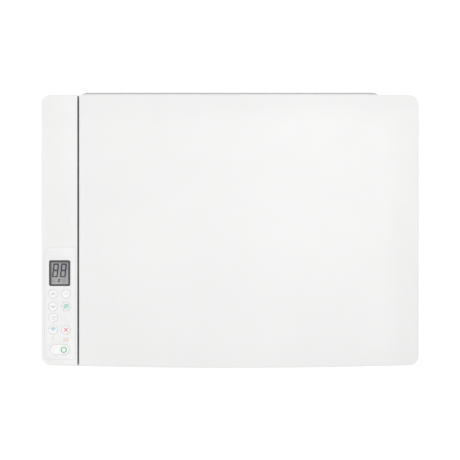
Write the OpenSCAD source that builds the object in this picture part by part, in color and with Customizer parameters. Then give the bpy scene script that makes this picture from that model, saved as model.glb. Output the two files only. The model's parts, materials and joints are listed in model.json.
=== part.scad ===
// Compact flatbed all-in-one inkjet printer.
// Millimetres, +X to the right, +Y to the rear, +Z up, origin under the middle of the body.

/* [Overall] */
// Width of the scanner body and lid
body_w = 425; // [424:0.5:426]
// Rear face of the scanner body, measured from the origin
body_rear = 152; // [151.8:0.1:152.2]
// Middle of the bowed front edge
body_front = -155.4; // [-155.6:0.1:-155.2]
// How far the front edge falls back at the corners
front_bow = 2.9; // [2:0.1:3.4]
// Plan radius of the outer corners
corner_r = 9.5; // [8:0.5:10]
// Height of the lid and control strip
body_h = 150; // [150:0.1:150.2]
// Moulded wall thickness
wall = 2.5; // [2.2:0.1:2.6]

/* [Control strip] */
// Right edge of the control strip
strip_x = -171.6; // [-172:0.1:-171.6]
// Left edge of the lid
lid_x = -169.7; // [-170.1:0.1:-169.6]
// X of the left button column
col_left = -199; // [-199.4:0.1:-198.8]
// X of the right button column
col_right = -184.5; // [-184.9:0.1:-184.4]
// Radius of a round button cap
button_r = 4.9; // [4.5:0.1:4.9]
// Height of the display window
display_d = 29.2; // [27:0.2:29.6]
// Width of the display window
display_w = 24.2; // [22:0.1:24.4]

/* [Lid] */
// Y of the lid hinge axis
hinge_y = 146; // [145.9:0.1:146.1]
// Z of the lid hinge axis
hinge_z = 141.7; // [141.6:0.1:141.8]

/* [Paper path] */
// Radius of the feed roller
feed_r = 7; // [6.8:0.05:7]
// Height of the feed shaft axis
shaft_z = 48; // [48:0.1:48.1]
// Radius of the pickup tyres
pickup_r = 14; // [13.5:0.1:14]

/* [Running fits] */
// Radial clearance of a running shaft
fit = 0.05; // [0.03:0.01:0.08]
// Backlash of the gear teeth
backlash = 0.3; // [0.28:0.01:0.36]

/* [Hidden] */
$fn = 48;
hw = body_w / 2;
white = [0.95, 0.95, 0.94];
shade = [0.80, 0.80, 0.80];
dark = [0.16, 0.16, 0.17];
steel = [0.72, 0.73, 0.75];
rubber_c = [0.10, 0.10, 0.11];
board_c = [0.05, 0.30, 0.16];
rows = [-72.1, -86.2, -98.8, -112.4];
power_at = [-191.6, -134.75];
display_at = [-191.6, -48.5];
hinge_xs = [-110, 150];
screw_at = [[-196, -120], [196, -120], [-150, 138], [122.5, 140]];
feed_at = [52, shaft_z];
out_at = [-34, shaft_z];
mid_at = [9, shaft_z];
drive_at = [62, shaft_z - 24];
pick_dir = 17;
pgear_at = feed_at + 40 * [cos(pick_dir), sin(pick_dir)];
pick_at = feed_at + 74 * [cos(pick_dir), sin(pick_dir)];
pinch_at = [52, shaft_z + 11.3];
star_at = [-34, shaft_z + 13.3];
rod_at = [66, 78];
door_at = [-149, 65.5];
tilt_at = [149.5, 47];
stop_at = [-152.5, 9.8];
// phases that put a tooth of one gear in a gap of the next
function mesh(theta, na, pa, nb) = theta + 180 + 180 / nb + (theta - pa) * na / nb;
drive_ph = mesh(atan2(-24, 10), 40, 0, 12);
mid_ph = mesh(180, 40, 0, 46);
out_ph = mesh(180, 46, mid_ph, 40);
pgear_ph = mesh(pick_dir, 40, 0, 40);
pick_ph = mesh(pick_dir, 40, pgear_ph, 28);

// ---------- shared shapes ----------
module bx(x0, x1, y0, y1, z0, z1) translate([x0, y0, z0]) cube([x1 - x0, y1 - y0, z1 - z0]);
module cx(x0, x1, p, r) translate([x0, p[0], p[1]]) rotate([0, 90, 0]) cylinder(r = r, h = x1 - x0);
module cy(y0, y1, x, z, r) translate([x, y1, z]) rotate([90, 0, 0]) cylinder(r = r, h = y1 - y0);
module cz(z0, z1, x, y, r) translate([x, y, z0]) cylinder(r = r, h = z1 - z0);
// rectangle with quarter-round corners
module rr(x0, x1, y0, y1, r) {
    translate([x0 + r, y0]) square([x1 - x0 - 2 * r, y1 - y0]);
    translate([x0, y0 + r]) square([x1 - x0, y1 - y0 - 2 * r]);
    for (x = [x0 + r, x1 - r], y = [y0 + r, y1 - r]) translate([x, y]) circle(r = r);
}
module rbx(x0, x1, y0, y1, r, z0, z1) translate([0, 0, z0]) linear_extrude(z1 - z0) rr(x0, x1, y0, y1, r);
// a side profile drawn in Y and Z, extruded along X
module side(x0, x1) translate([x0, 0, 0]) rotate([90, 0, 90]) linear_extrude(x1 - x0) children();
// a front profile drawn in X and Z, extruded along Y
module front(y0, y1) translate([0, y1, 0]) rotate([90, 0, 0]) linear_extrude(y1 - y0) children();

// the bowed front line of the scanner body and lid
function bow(x) = body_front + front_bow * pow(x / (hw - corner_r), 2);
function arc(cx, cy, r, a0, a1, n) = [for (i = [0:n]) [cx + r * cos(a0 + (a1 - a0) * i / n), cy + r * sin(a0 + (a1 - a0) * i / n)]];
// plan outline between xl and xr, moved inwards by o, with corner radii rl and rr
function plan(xl, xr, o, rl, rr) = let (a = xl + o, b = xr - o, l = max(rl - o, 0.4), r = max(rr - o, 0.4), y1 = body_rear - o) concat(
    arc(a + l, bow(a + l) + o + l, l, 180, 270, 8),
    [for (i = [1:23]) let (x = a + l + (b - r - a - l) * i / 24) [x, bow(x) + o]],
    arc(b - r, bow(b - r) + o + r, r, 270, 360, 8),
    arc(b - r, y1 - r, r, 0, 90, 8),
    arc(a + l, y1 - l, l, 90, 180, 8));
module slab(xl, xr, o, rl, rr, z0, z1) translate([0, 0, z0]) linear_extrude(z1 - z0) polygon(plan(xl, xr, o, rl, rr));

// involute spur gear outline, module 1, with a tooth centred on angle ph
function inv(a) = tan(a) - a * PI / 180;
function half(n, r) = let (rb = n / 2 * cos(20), q = max(r, rb * 1.0001))
    (90 / n) - backlash / n * 90 / PI + (inv(20) - inv(acos(rb / q))) * 180 / PI;
module gear2(n, ph) {
    ra = n / 2 + 0.7;
    rf = n / 2 - 1.2;
    rs = [for (i = [0:4]) rf + (ra - rf) * i / 4];
    polygon([for (k = [0:n - 1]) let (c = ph + k * 360 / n) each concat(
        [for (r = rs) let (a = c - half(n, r)) [r * cos(a), r * sin(a)]],
        [for (i = [4:-1:0]) let (r = rs[i], a = c + half(n, r)) [r * cos(a), r * sin(a)]])]);
}
// gear on a shaft along X
module gear_x(x0, x1, p, n, ph, bore) difference() {
    translate([0, p[0], p[1]]) side(x0, x1) gear2(n, ph);
    if (bore > 0) cx(x0 - 1, x1 + 1, p, bore);
}
// straight rack, module 1: pitch line on y = 0, teeth towards +y, gaps centred on g + k * pitch
module rack2(x0, n, depth) {
    t = PI / 2 - backlash;
    polygon(concat(
        [[x0 - t, -depth]], [for (k = [0:n - 1]) let (c = x0 + k * PI) each [
            [c - t / 2 - 1.2 * tan(20), -1.2], [c - t / 2 + 0.7 * tan(20), 0.7],
            [c + t / 2 - 0.7 * tan(20), 0.7], [c + t / 2 + 1.2 * tan(20), -1.2]]],
        [[x0 + (n - 1) * PI + t, -depth]]));
}

// ---------- outer case ----------
module feet() color(rubber_c) for (x = [-185, 185], y = [-130, 130]) translate([x, y, 0]) {
    rotate_extrude() polygon([[0, 0], [6.2, 0], [7, 0.8], [7, 3], [0, 3]]);
    cylinder(r = 2.9, h = 6.4);
}

module base_pan() color(white) difference() {
    union() {
        difference() {
            rbx(-204, 204, -149, 147, 8, 3, 30);
            rbx(-204 + wall, 204 - wall, -149 + wall, 147 - wall, 8 - wall, 5.5, 31);
            bx(-113, 113, -150, -140, 6.5, 31);
        }
        // screw towers
        for (p = screw_at) cz(4, 30, p[0], p[1], 5);
        // tray slides and side rails
        for (x = [-113.8, 112.4]) bx(x, x + 1.4, -146.8, -18, 5, 18);
        for (x = [-90, -30, 26, 86]) bx(x, x + 4, -146.8, -22, 5, 7.8);
        bx(-112, 112, -18, -16, 5, 18);
        // stiffening ribs
        for (x = [-60, 0, 60]) bx(x - 1, x + 1, -16.5, 145, 5, 9);
        // locating tabs that stand inside the case
        for (x = [-160, 144]) bx(x, x + 16, -146.6, -144.6, 27, 34);
        for (x = [-100, 60]) bx(x, x + 16, 142.6, 144.6, 27, 34);
    }
    for (p = screw_at) {
        cz(2, 31, p[0], p[1], 1.6);
        cz(2, 6, p[0], p[1], 3.6);
    }
    for (x = [-185, 185], y = [-130, 130]) cz(2, 7, x, y, 2.95);
    // long groove under the front edge and a finger recess at each side
    for (x = [-204.6, 203.4]) bx(x, x + 1.2, -60, 40, 12, 24);
    // ventilation slots in the floor
    for (i = [0:5]) bx(132 + i * 7, 135 + i * 7, 92, 126, 2, 6);
}

module screws() color(steel) for (p = screw_at) {
    difference() {
        cz(3.6, 6, p[0], p[1], 3.2);
        translate([p[0], p[1], 3]) for (a = [0, 90]) rotate(a) translate([-0.45, -1.8, 0]) cube([0.9, 3.6, 2]);
    }
    cz(6, 37, p[0], p[1], 1.5);
}

// tapered ring: narrow at the base, wider under the scanner
module case_solid(o, z0, z1) intersection() {
    front(-200, 200) polygon([[-204 + o, z0], [204 - o, z0], [204 + (z0 - 30) * 6 / 74 - o, z0],
        [204 + (z1 - 30) * 6 / 74 - o, z1], [-204 - (z1 - 30) * 6 / 74 + o, z1], [-204 - (z0 - 30) * 6 / 74 + o, z0]]);
    rbx(-210.2 + o, 210.2 - o, -151 + o, 149 - o, max(9 - o, 2), z0, z1);
}
module main_case() color(white) difference() {
    union() {
        difference() {
            case_solid(0, 30, 104);
            case_solid(wall, 29.9, 104.1);
            // paper exit and cartridge opening at the front, paper inlet at the rear
            bx(-127, 127, -152, -145, 29, 101);
            bx(-128, 128, 140, 150, 44, 105);
        }
        // bar between the paper exit and the cartridge door
        bx(-127.5, 127.5, -150.4, -140, 57, 61);
        bx(-127.5, 127.5, -148.5, -146, 50, 57.5);
        // hinge bosses of the cartridge door
        for (x = [-131, 127]) bx(x, x + 4, -150.4, -145, 60.5, 70.5);
        // hinge ears of the rear tray
        for (x = [-132, 128]) bx(x, x + 4, 144.8, 152, 42, 52);
        // screw bosses
        for (p = screw_at) cz(30, 40, p[0], p[1], 5);
        for (s = [-1, 1]) bx(s > 0 ? 196 : -203.3, s > 0 ? 203.3 : -196, -121.2, -118.8, 30, 40);
        bx(-151.2, -148.8, 138, 147.4, 30, 40);
        bx(121.3, 123.7, 140, 147.4, 30, 40);
        // stiffening frame round the paper inlet
        for (x = [-130, 128]) bx(x, x + 2, 140, 147, 53, 104);
    }
    for (x = [-132, 126]) cx(x, x + 6, door_at, 1.5 + fit);
    for (x = [-133, 127]) cx(x, x + 6, tilt_at, 2 + fit);
    for (p = screw_at) cz(29, 41, p[0], p[1], 1.5);
    // communication socket and power inlet windows
    bx(-192.7, -180.1, 144, 150, 31.7, 43.3);
    bx(151.8, 178.2, 144, 150, 32.3, 45.7);
    // side grip recesses, as shallow slots
    for (s = [-1, 1]) for (i = [0:5]) bx(s > 0 ? 205 : -212, s > 0 ? 212 : -205, 40 + i * 8, 44 + i * 8, 84, 96);
}

// ---------- scanner ----------
module scanner_tub() color(white) difference() {
    union() {
        difference() {
            slab(-hw, hw, 0, corner_r, corner_r, 104, 137);
            difference() {
                slab(-hw, hw, wall, corner_r, corner_r, 106.5, 138);
                bx(-171, 171, 144, 155, 106, 138);
            }
            // recess for the closed rear tray
            bx(-169, 169, 146, 156, 103, 138);
            // step that leaves room for the swinging lid
            bx(strip_x, hw + 1, 141.05, 156, 132.4, 138);
        }
        // sockets of the lid hinge posts
        for (x = hinge_xs) bx(x - 12.5, x + 12.5, 132.5, 145, 106, 132.4);
        // rod brackets
        for (x = [-170, 201]) bx(x, x + 6, 100, 112, 106, 122);
        // rail under the front end of the scan head
        bx(-168, 206, -134.5, -131.5, 106, 117.6);
        // moulded rack that the scan pinion climbs along
        translate([0, 129.5, 111]) rotate([90, 0, 0]) linear_extrude(5) rack2(174 - 102.5 * PI, 108, 4.8);
        // floor ribs
        for (x = [-100, -50, 0, 50, 100]) bx(x - 1, x + 1, -146, 96, 106, 110);
        for (y = [-90, -40, 10, 60]) bx(-206, 206, y - 1, y + 1, 106, 108.5);
    }
    for (x = hinge_xs) bx(x - 10.3, x + 10.3, 134.7, 141.8, 107.7, 133);
    for (x = [-171, 200]) cx(x, x + 8, [106, 116], 3);
    // cable pass-through to the main board
    bx(-200, -184, 60, 72, 103, 107);
}

module scan_rod() color(steel) cx(-170, 207, [106, 116], 3);

module scan_head() color(dark) {
    difference() {
        union() {
            bx(164, 184, -136, 99, 122, 134);
            bx(166, 182, -136, -130, 118, 123);
            bx(162, 186, 98, 112, 110.5, 124);
            bx(164, 184, 90, 99, 118, 124);
            // motor plate
            bx(162, 186, 111, 112.4, 107.5, 127);
        }
        cx(160, 188, [106, 116], 3 + fit);
        // sensor slot facing the glass
        bx(171, 175, -110, 88, 132.5, 135);
        bx(176.5, 181, -110, 88, 133, 135);
    }
    // lens strip and light guide
    color("silver") bx(171.3, 174.7, -109.6, 87.6, 132.4, 133.8);
    color("silver") bx(176.8, 180.7, -109.6, 87.6, 132.9, 133.8);
    // glide buttons under the glass
    for (y = [-128, 94]) cz(133.9, 134.9, 174, y, 3);
}

module scan_motor() color(steel) difference() {
    union() {
        cy(112.4, 124, 174, 117, 9);
        cy(123.9, 130, 174, 117, 1);
    }
    for (x = [167, 181]) cy(111, 114, x, 117, 0.8);
}

module scan_pinion() color("ivory") difference() {
    translate([174, 129.4, 117]) rotate([90, 0, 0]) linear_extrude(4.8) gear2(12, 0);
    cy(124, 130, 174, 117, 1 + fit);
}

module scanner_bezel() color(white) difference() {
    union() {
        // frame round the glass
        difference() {
            slab(strip_x - 1, hw, 0, 0.4, corner_r, 137, 139.2);
            bx(-180, 220, 141, 156, 136, 140);
        }
        // lower step behind the lid
        difference() {
            slab(strip_x, hw, 0, 0.4, corner_r, 132.4, 134.4);
            bx(-180, 220, -160, 139, 132, 135);
            bx(209.9, 220, 130, 141.05, 132, 135);
        }
        bx(strip_x, 210, 139, 141, 132.4, 139);
        // control strip shell
        difference() {
            slab(-hw, strip_x, 0, corner_r, 1, 137, body_h);
            slab(-hw, strip_x, wall, corner_r, 1, 136, body_h - 2.2);
        }
        // board towers in the strip
        for (y = tower_ys) for (x = [-205, -177.5]) cz(140, 148, x, y, 2);
    }
    // window, its glued rebate underneath, and the hinge post holes
    bx(-140, 160, -125, 93, 136, 140);
    bx(-144, 164, -129, 97, 136, 138.4);
    for (x = hinge_xs) bx(x - 10.4, x + 10.4, 134.6, 141.9, 132, 140);
    // recess for the overlay
    overlay_shape(0, body_h - 0.4, body_h + 1);
    controls_cut(body_h - 3, body_h + 1);
}

// fascia area: rounded at the rear left, running to the front
module overlay_shape(o, z0, z1) translate([0, 0, z0]) linear_extrude(z1 - z0) polygon(concat(
    [[-173.6 - o, -19.7 - o]],
    arc(-203.6, -24.7, 5 - o, 90, 180, 8),
    arc(-203.6, -141, 5 - o, 180, 270, 8),
    [[-173.6 - o, -146 + o]]));
module controls_cut(z0, z1) {
    rbx(display_at[0] - display_w / 2, display_at[0] + display_w / 2, display_at[1] - display_d / 2, display_at[1] + display_d / 2, 2, z0, z1);
    for (b = buttons) cz(z0, z1, b[0], b[1], button_r + 0.3);
    rbx(power_at[0] - 11.05, power_at[0] + 11.05, power_at[1] - 6.05, power_at[1] + 6.05, 6.04, z0, z1);
}
tower_ys = [-142.6, -105.6, -26];
buttons = [[col_left, rows[0]], [col_right, rows[0]], [col_left, rows[1]], [col_right, rows[1]],
    [col_left, rows[2]], [col_left, rows[3]], [col_right, rows[3]]];

module control_overlay() color([0.94, 0.94, 0.93]) difference() {
    overlay_shape(0.1, body_h - 0.4, body_h);
    controls_cut(body_h - 1, body_h + 1);
}

module display_module() {
    color(dark) difference() {
        rbx(display_at[0] - display_w / 2 + 0.15, display_at[0] + display_w / 2 - 0.15, display_at[1] - display_d / 2 + 0.15, display_at[1] + display_d / 2 - 0.15, 1.85, 144, 149.7);
        rbx(display_at[0] - 9.75, display_at[0] + 9.75, display_at[1] - 12.55, display_at[1] + 12.55, 0.8, 149.2, 151);
    }
    color(dark) bx(display_at[0] - 9, display_at[0] + 9, display_at[1] - 14, display_at[1] + 14, 142.6, 144.1);
}

module panel_board() {
    color(board_c) difference() {
        bx(-208, -176, -146, -22, 141, 142.6);
        for (y = tower_ys) for (x = [-205, -177.5]) cz(140, 143, x, y, 2.05);
    }
    // tact switches under each button
    color("silver") for (b = concat(buttons, [power_at])) {
        bx(b[0] - 3, b[0] + 3, b[1] - 3, b[1] + 3, 142.5, 144.2);
        cz(144.1, 145, b[0], b[1], 1.6);
    }
    color("orange") for (x = [col_left, col_right]) bx(x - 1, x + 1, -124, -122, 142.5, 143.4);
}

module cap(p) color([0.98, 0.98, 0.98]) {
    cz(146.6, 149.8, p[0], p[1], button_r);
    translate([p[0], p[1], 149.8]) cylinder(r1 = button_r, r2 = button_r - 0.4, h = 0.4);
    cz(146, 147.2, p[0], p[1], 5.9);
    cz(145.9, 146.1, p[0], p[1], 2);
}
module button_up() cap([col_left, rows[0]]);
module button_menu() cap([col_right, rows[0]]);
module button_down() cap([col_left, rows[1]]);
module button_color_copy() cap([col_right, rows[1]]);
module button_mono_copy() cap([col_left, rows[2]]);
module button_wireless() cap([col_left, rows[3]]);
module button_cancel() cap([col_right, rows[3]]);
module power_button() color([0.98, 0.98, 0.98]) {
    rbx(power_at[0] - 10.75, power_at[0] + 10.75, power_at[1] - 5.75, power_at[1] + 5.75, 5.74, 146.6, body_h + 0.2);
    rbx(power_at[0] - 12, power_at[0] + 12, power_at[1] - 7, power_at[1] + 7, 6.9, 146, 147.2);
    cz(145.9, 146.1, power_at[0], power_at[1], 2);
}

module scanner_glass() color([0.75, 0.85, 0.85, 0.5]) bx(-143.7, 163.7, -128.7, 96.7, 135.4, 138.4);

// ---------- lid ----------
module lid_shell() color(white) difference() {
    union() {
        difference() {
            slab(lid_x, hw, 0, 1, corner_r, 139.5, body_h);
            slab(lid_x, hw, wall, 1, corner_r, 139, body_h - wall);
        }
        // hinge ears
        for (x = hinge_xs, s = [-1, 1]) {
            bx(x + s * 11.9 - 1.5, x + s * 11.9 + 1.5, 143, 149.8, hinge_z, 147.8);
            cx(x + s * 11.9 - 1.5, x + s * 11.9 + 1.5, [hinge_y, hinge_z], 3);
        }
        // stiffening ribs under the top
        for (x = [-135, -60, 0, 60, 120, 180]) bx(x - 1, x + 1, 99, 140, 143.5, 147.8);
        for (x = [180, 195]) bx(x - 1, x + 1, -150, 100, 144, 147.8);
    }
    for (x = hinge_xs) cx(x - 14, x + 14, [hinge_y, hinge_z], 1.5 + fit);
    // finger scoop under the front edge
    bx(-40, 90, -160, bow(40) + 1.2, 138, 141.2);
}

module lid_liner() color([0.97, 0.97, 0.97]) rbx(-143, 163, -129, 97, 3, 139.5, 147.5);

module lid_hinge_posts() color([0.85, 0.85, 0.85]) for (x = hinge_xs) {
    bx(x - 10, x + 10, 135, 141.5, 108, 141.5);
    bx(x - 10, x + 10, 138.5, hinge_y, 138.7, 144.6);
    cx(x - 10, x + 10, [hinge_y, hinge_z], 3);
    cx(x - 13.2, x + 13.2, [hinge_y, hinge_z], 1.5);
}

// ---------- front doors and trays ----------
module cartridge_door() color(white) difference() {
    union() {
        bx(-124, 124, -151.5, -149.3, 64, 100);
        bx(-123, 123, -149.4, -147.6, 96, 98.5);
        for (x = [-123, 121]) bx(x, x + 2, -149.4, -147.2, 66, 98);
        for (x = [-124, 118]) cx(x, x + 6, door_at, 2.5);
        cx(-130.6, 130.6, door_at, 1.5);
    }
    bx(-117.8, 117.8, -149.3, -146, 62, 69);
    // finger recess along the top edge
    bx(-30, 30, -152, -150.6, 96, 101);
}

module output_tray() color(shade) difference() {
    union() {
        bx(-112, 112, -151, -20, 8, 13);
        rbx(-112, 112, -154.2, -149.8, 1.5, 7, 27);
    }
    // pocket for the extender, open to the front
    bx(-60.3, 60.3, -160, -58, 8.8, 11.7);
    bx(-60.3, 60.3, -156, -149.7, 6, 30);
    // shallow guide channels in the tray floor
    for (x = [-100, -84, 76, 92]) bx(x, x + 8, -146, -24, 12.2, 14);
}

module tray_extender() color(shade) difference() {
    union() {
        bx(-60, 60, -150, -62, 9.1, 11.4);
        for (x = [-60, 58.4]) {
            bx(x, x + 1.6, stop_at[0], -149.8, 8.4, 11.4);
            cx(x, x + 1.6, stop_at, 1.6);
        }
    }
    for (x = [-45, -15, 15]) bx(x, x + 30 - 4, -140, -72, 10.9, 12);
    cx(-61, 61, stop_at, 0.9 + fit);
}

module tray_stop() color(shade) union() {
    bx(-58, 58, -154.2, -151.6, 8.4, 26.6);
    cx(-58, 58, stop_at, 1.4);
    cx(-59.7, 59.7, stop_at, 0.9);
}

module rear_tray() color(white) {
    cy(147.8, 149.8, 0, 60, 1.5);
    rear_tray_plate();
}
module rear_tray_plate() difference() {
    union() {
        bx(-124, 124, 147.6, 152, 46, 131);
        cx(-131.6, 131.6, tilt_at, 2);
    }
    // gear pocket in the front face
    bx(-122, 122, 147, 149.6, 49.6, 70.4);
    // dovetail grooves of the extension
    for (x = [-63, 63]) translate([x, 0, 45]) linear_extrude(84.5) polygon([[-1.8, 152.1], [1.8, 152.1], [3, 150.3], [-3, 150.3]]);
    // sheet ribs are formed by shallow channels
    for (x = [-90, -50, -10, 30, 70]) bx(x, x + 20, 147, 148, 74, 128);
}

module rear_tray_extension() color(white) {
    // broad cover with softened ends
    difference() {
        linear_extrude_z(49, 131) polygon([[-167.4, 152.4], [167.4, 152.4], [167.4, 153.6], [166.2, 154.6], [163, 155.4],
                                           [-163, 155.4], [-166.2, 154.6], [-167.4, 153.6]]);
        // finger recess
        bx(-45, 45, 154, 156, 106, 120);
    }
    for (x = [-63, 63]) translate([x, 0, 49]) linear_extrude(9) polygon([[-1.4, 152.6], [1.4, 152.6], [2.5, 150.7], [-2.5, 150.7]]);
}
module linear_extrude_z(z0, z1) translate([0, 0, z0]) linear_extrude(z1 - z0) children();

// paper guides: an upright, a foot in the pocket and a toothed bar
module paper_guide_left() color(shade) union() {
    bx(-112, -109, 134, 147.3, 56, 96);
    bx(-112, -109, 147.2, 149.3, 50, 64.4);
    bx(-112, -96, 147.9, 149.3, 50, 54);
    translate([0, 149.3, 54]) rotate([90, 0, 0]) linear_extrude(1.4) rack2(-30.5 * PI, 32, 4);
}
module paper_guide_right() color(shade) union() {
    bx(109, 112, 134, 147.3, 56, 96);
    bx(109, 112, 147.2, 149.3, 55.6, 70);
    bx(96, 112, 147.9, 149.3, 66, 70);
    translate([0, 149.3, 66]) rotate([90, 0, 0]) mirror([0, 1, 0]) linear_extrude(1.4) rack2(-0.5 * PI, 32, 4);
}
module guide_pinion() color("ivory") difference() {
    translate([0, 149.3, 60]) rotate([90, 0, 0]) linear_extrude(1.4) gear2(12, 0);
    cy(147, 151, 0, 60, 1.5 + fit);
}

// ---------- chassis and paper path ----------
module paper_ramp() color(dark) difference() {
    union() {
        bx(-106, 106, 62, 146, 52.3, 54.8);
        for (x = [-96, -30, 30, 96]) bx(x - 1.5, x + 1.5, 74, 142, 9, 52.4);
        bx(-106, 106, 140, 142, 42, 52.4);
        for (x = [-80, -50, 50, 80]) bx(x - 1.5, x + 1.5, 62, 112, 54.7, 55);
        // feet on the floor of the base
        for (x = [-96, -30, 30, 96]) bx(x - 4, x + 4, 74, 140, 5.5, 9.1);
    }
    // windows for the pickup tyres' friction pads
    for (x = [-20, 20]) bx(x - 9, x + 9, 118, 135, 53.8, 56);
}

// left, inner right and outer right plates, profiles drawn in Y and Z
module chassis() color(steel) difference() {
    union() {
        side(-174, -171) polygon([[-60, 5.5], [136, 5.5], [136, 82], [108, 100], [40, 100], [40, 88], [-20, 88], [-44, 70], [-60, 70]]);
        side(116, 119) polygon([[-60, 18.2], [-18, 18.2], [-18, 5.5], [134, 5.5], [134, 80], [98, 80], [98, 66], [43.5, 66], [43.5, 54], [-26.5, 54], [-26.5, 60.5], [-31, 65], [-44, 65], [-60, 50]]);
        side(196, 199) polygon([[-40, 5.5], [80, 5.5], [104, 5.5], [104, 100], [40, 100], [40, 60], [-40, 60]]);
        // rear beam and its folded flange
        bx(-172, 197, 101.5, 104, 84, 100);
        bx(-172, 197, 101.5, 108, 98.5, 100);
        // cross member under the feed roller
        bx(-172, 117, 70, 72.5, 40, 50);
        bx(112, 116, 70, 72.5, 5.5, 41);
        // mounting feet
        for (x = [-171, 108]) for (y = [-4, 73]) bx(x, x + 8, y, y + 9, 5.5, 7.5);
        bx(188, 196.1, 73, 82, 5.5, 7.5);
        // encoder strip hooks
        for (x = [-171.5, 192]) bx(x, x + 4.5, 77, 81, 92, 98);
        for (x = [-171.5, 192]) bx(x, x + 4.5, 40, 81, 98, 100);
        bx(184, 197, 83, 93, 76, 79);
        cz(78.5, 91, 189, 88, 1.5);
    }
    for (p = [feed_at, out_at]) cx(-180, 125, p, 3 + fit);
    cx(-180, 125, pick_at, 3 + fit);
    for (p = [pgear_at, mid_at]) cx(-180, -165, p, 2.5);
    for (p = [pinch_at, star_at]) cx(-180, 125, p, 1.5 + fit);
    // feed motor shaft and carriage rod seats
    cx(-180, -165, drive_at, 3);
    cx(-180, 200, rod_at, 4);
}

module platen() color(dark) {
    bx(-170.8, 115.8, -25.5, 41.5, 50.5, 53.5);
    for (i = [0:20]) bx(-110 + i * 11 - 0.5, -110 + i * 11 + 0.5, -22, 40, 53.4, 54.8);
    for (y = [-14, 20]) for (x = [-168, 108]) bx(x, x + 6, y, y + 8, 5.5, 50.6);
}

module carriage_rod() color("silver") cx(-174, 199, rod_at, 4);

module encoder_strip() color([0.6, 0.6, 0.62]) bx(-167, 192, 78.9, 79.2, 92.5, 97.5);

// one spindle sleeve with its shaft and gear
module feed_roller() color(steel) {
    cx(-187, 119.4, feed_at, 3);
    color(rubber_c) for (x = [-105, -45, 15, 75]) cx(x, x + 30, feed_at, feed_r);
    cx(-170.6, -168, feed_at, 5);
    color("ivory") gear_x(-186, -180, feed_at, 40, 0, 0);
}
module output_roller() color(steel) {
    cx(-187, 119.4, out_at, 3);
    color(rubber_c) for (x = [-100, -75, -45, -15, 15, 45, 75, 100]) cx(x - 6, x + 6, out_at, 7.1);
    cx(-170.6, -168, out_at, 5);
    color("ivory") gear_x(-186, -180, out_at, 40, out_ph, 0);
}
module transfer_gear() color("ivory") {
    gear_x(-186, -180, mid_at, 46, mid_ph, 0);
    cx(-180.1, -171, mid_at, 2.45);
    cx(-180.1, -174.4, mid_at, 6);
}
module pickup_gear() color("ivory") {
    gear_x(-186, -180, pgear_at, 40, pgear_ph, 0);
    cx(-180.1, -171, pgear_at, 2.45);
    cx(-180.1, -174.4, pgear_at, 6);
}
module pickup_roller() color(rubber_c) {
    color(steel) cx(-187, 119.4, pick_at, 3);
    for (x = [-20, 20]) cx(x - 8, x + 8, pick_at, pickup_r);
    for (x = [-29, 29]) cx(x - 2, x + 2, pick_at, pickup_r - 0.6);
    color(steel) cx(-170.6, -168, pick_at, 5);
    color("ivory") gear_x(-186, -180, pick_at, 28, pick_ph, 0);
}
module pinch_rollers() color(dark) {
    cx(-174, 119, pinch_at, 1.5);
    for (x = [-105, -45, 15, 75]) for (o = [4, 17]) cx(x + o, x + o + 9, pinch_at, 4);
}
module star_wheels() color("gold") {
    cx(-174, 119, star_at, 1.5);
    for (x = [-100, -75, -45, -15, 15, 45, 75, 100]) {
        translate([x - 0.4, star_at[0], star_at[1]]) side(0, 0.8) polygon([for (k = [0:23]) let (r = k % 2 == 0 ? 6 : 4.8) [r * cos(k * 15), r * sin(k * 15)]]);
        cx(x - 2, x + 2, star_at, 3);
    }
}
module feed_motor() color(steel) {
    cx(-171, -146, drive_at, 14);
    cx(-187, -146.5, drive_at, 1.5);
    cx(-174.2, -170.5, drive_at, 2.95);
}
module feed_pinion() color("goldenrod") gear_x(-186, -180, drive_at, 12, drive_ph, 1.5 + fit);

// ---------- ink carriage ----------
module carriage() color(dark) difference() {
    union() {
        bx(111, 195, -26, 42, 58, 60);
        for (x = [111, 192.5]) bx(x, x + 2.5, -26, 42, 58, 88);
        bx(152, 154, -26, 42, 58, 88);
        bx(111, 195, 38, 42, 58, 92);
        // arm to the bearing
        bx(111, 195, 42, 60, 68.2, 72);
        bx(111, 195, 56, 76, 70, 86);
        // belt clamp and encoder reader
        bx(145, 161, 75, 76.6, 84, 99);
        bx(145, 161, 75, 86, 91, 92);
        bx(145, 161, 80.6, 82, 91, 99);
        bx(145, 161, 76, 81.8, 83, 84.2);
    }
    cx(100, 200, rod_at, 4 + fit);
    // nozzle windows
    for (x = cart_x) bx(x + 8, x + 29.2, -21, 13, 57, 61);
    for (x = [117, 141, 165, 189]) bx(x - 4, x + 4, 60, 72, 84, 87);
}
cart_x = [114.2, 154.6];
module cartridge(x0, label) {
    color(dark) bx(x0, x0 + 37.2, -24, 37, 60.3, 90);
    color(dark) bx(x0 + 9, x0 + 28.2, -16, 12, 57, 60.4);
    color(label) bx(x0 + 3, x0 + 34.2, -26, 30, 89.9, 90.6);
    // grip at the front
    color(dark) for (z = [76, 80, 84]) bx(x0 + 6, x0 + 31.2, -25.6, -23.9, z, z + 2);
}
module cartridge_black() cartridge(cart_x[0], [0.3, 0.3, 0.32]);
module cartridge_color() cartridge(cart_x[1], [0.2, 0.55, 0.75]);

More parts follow.
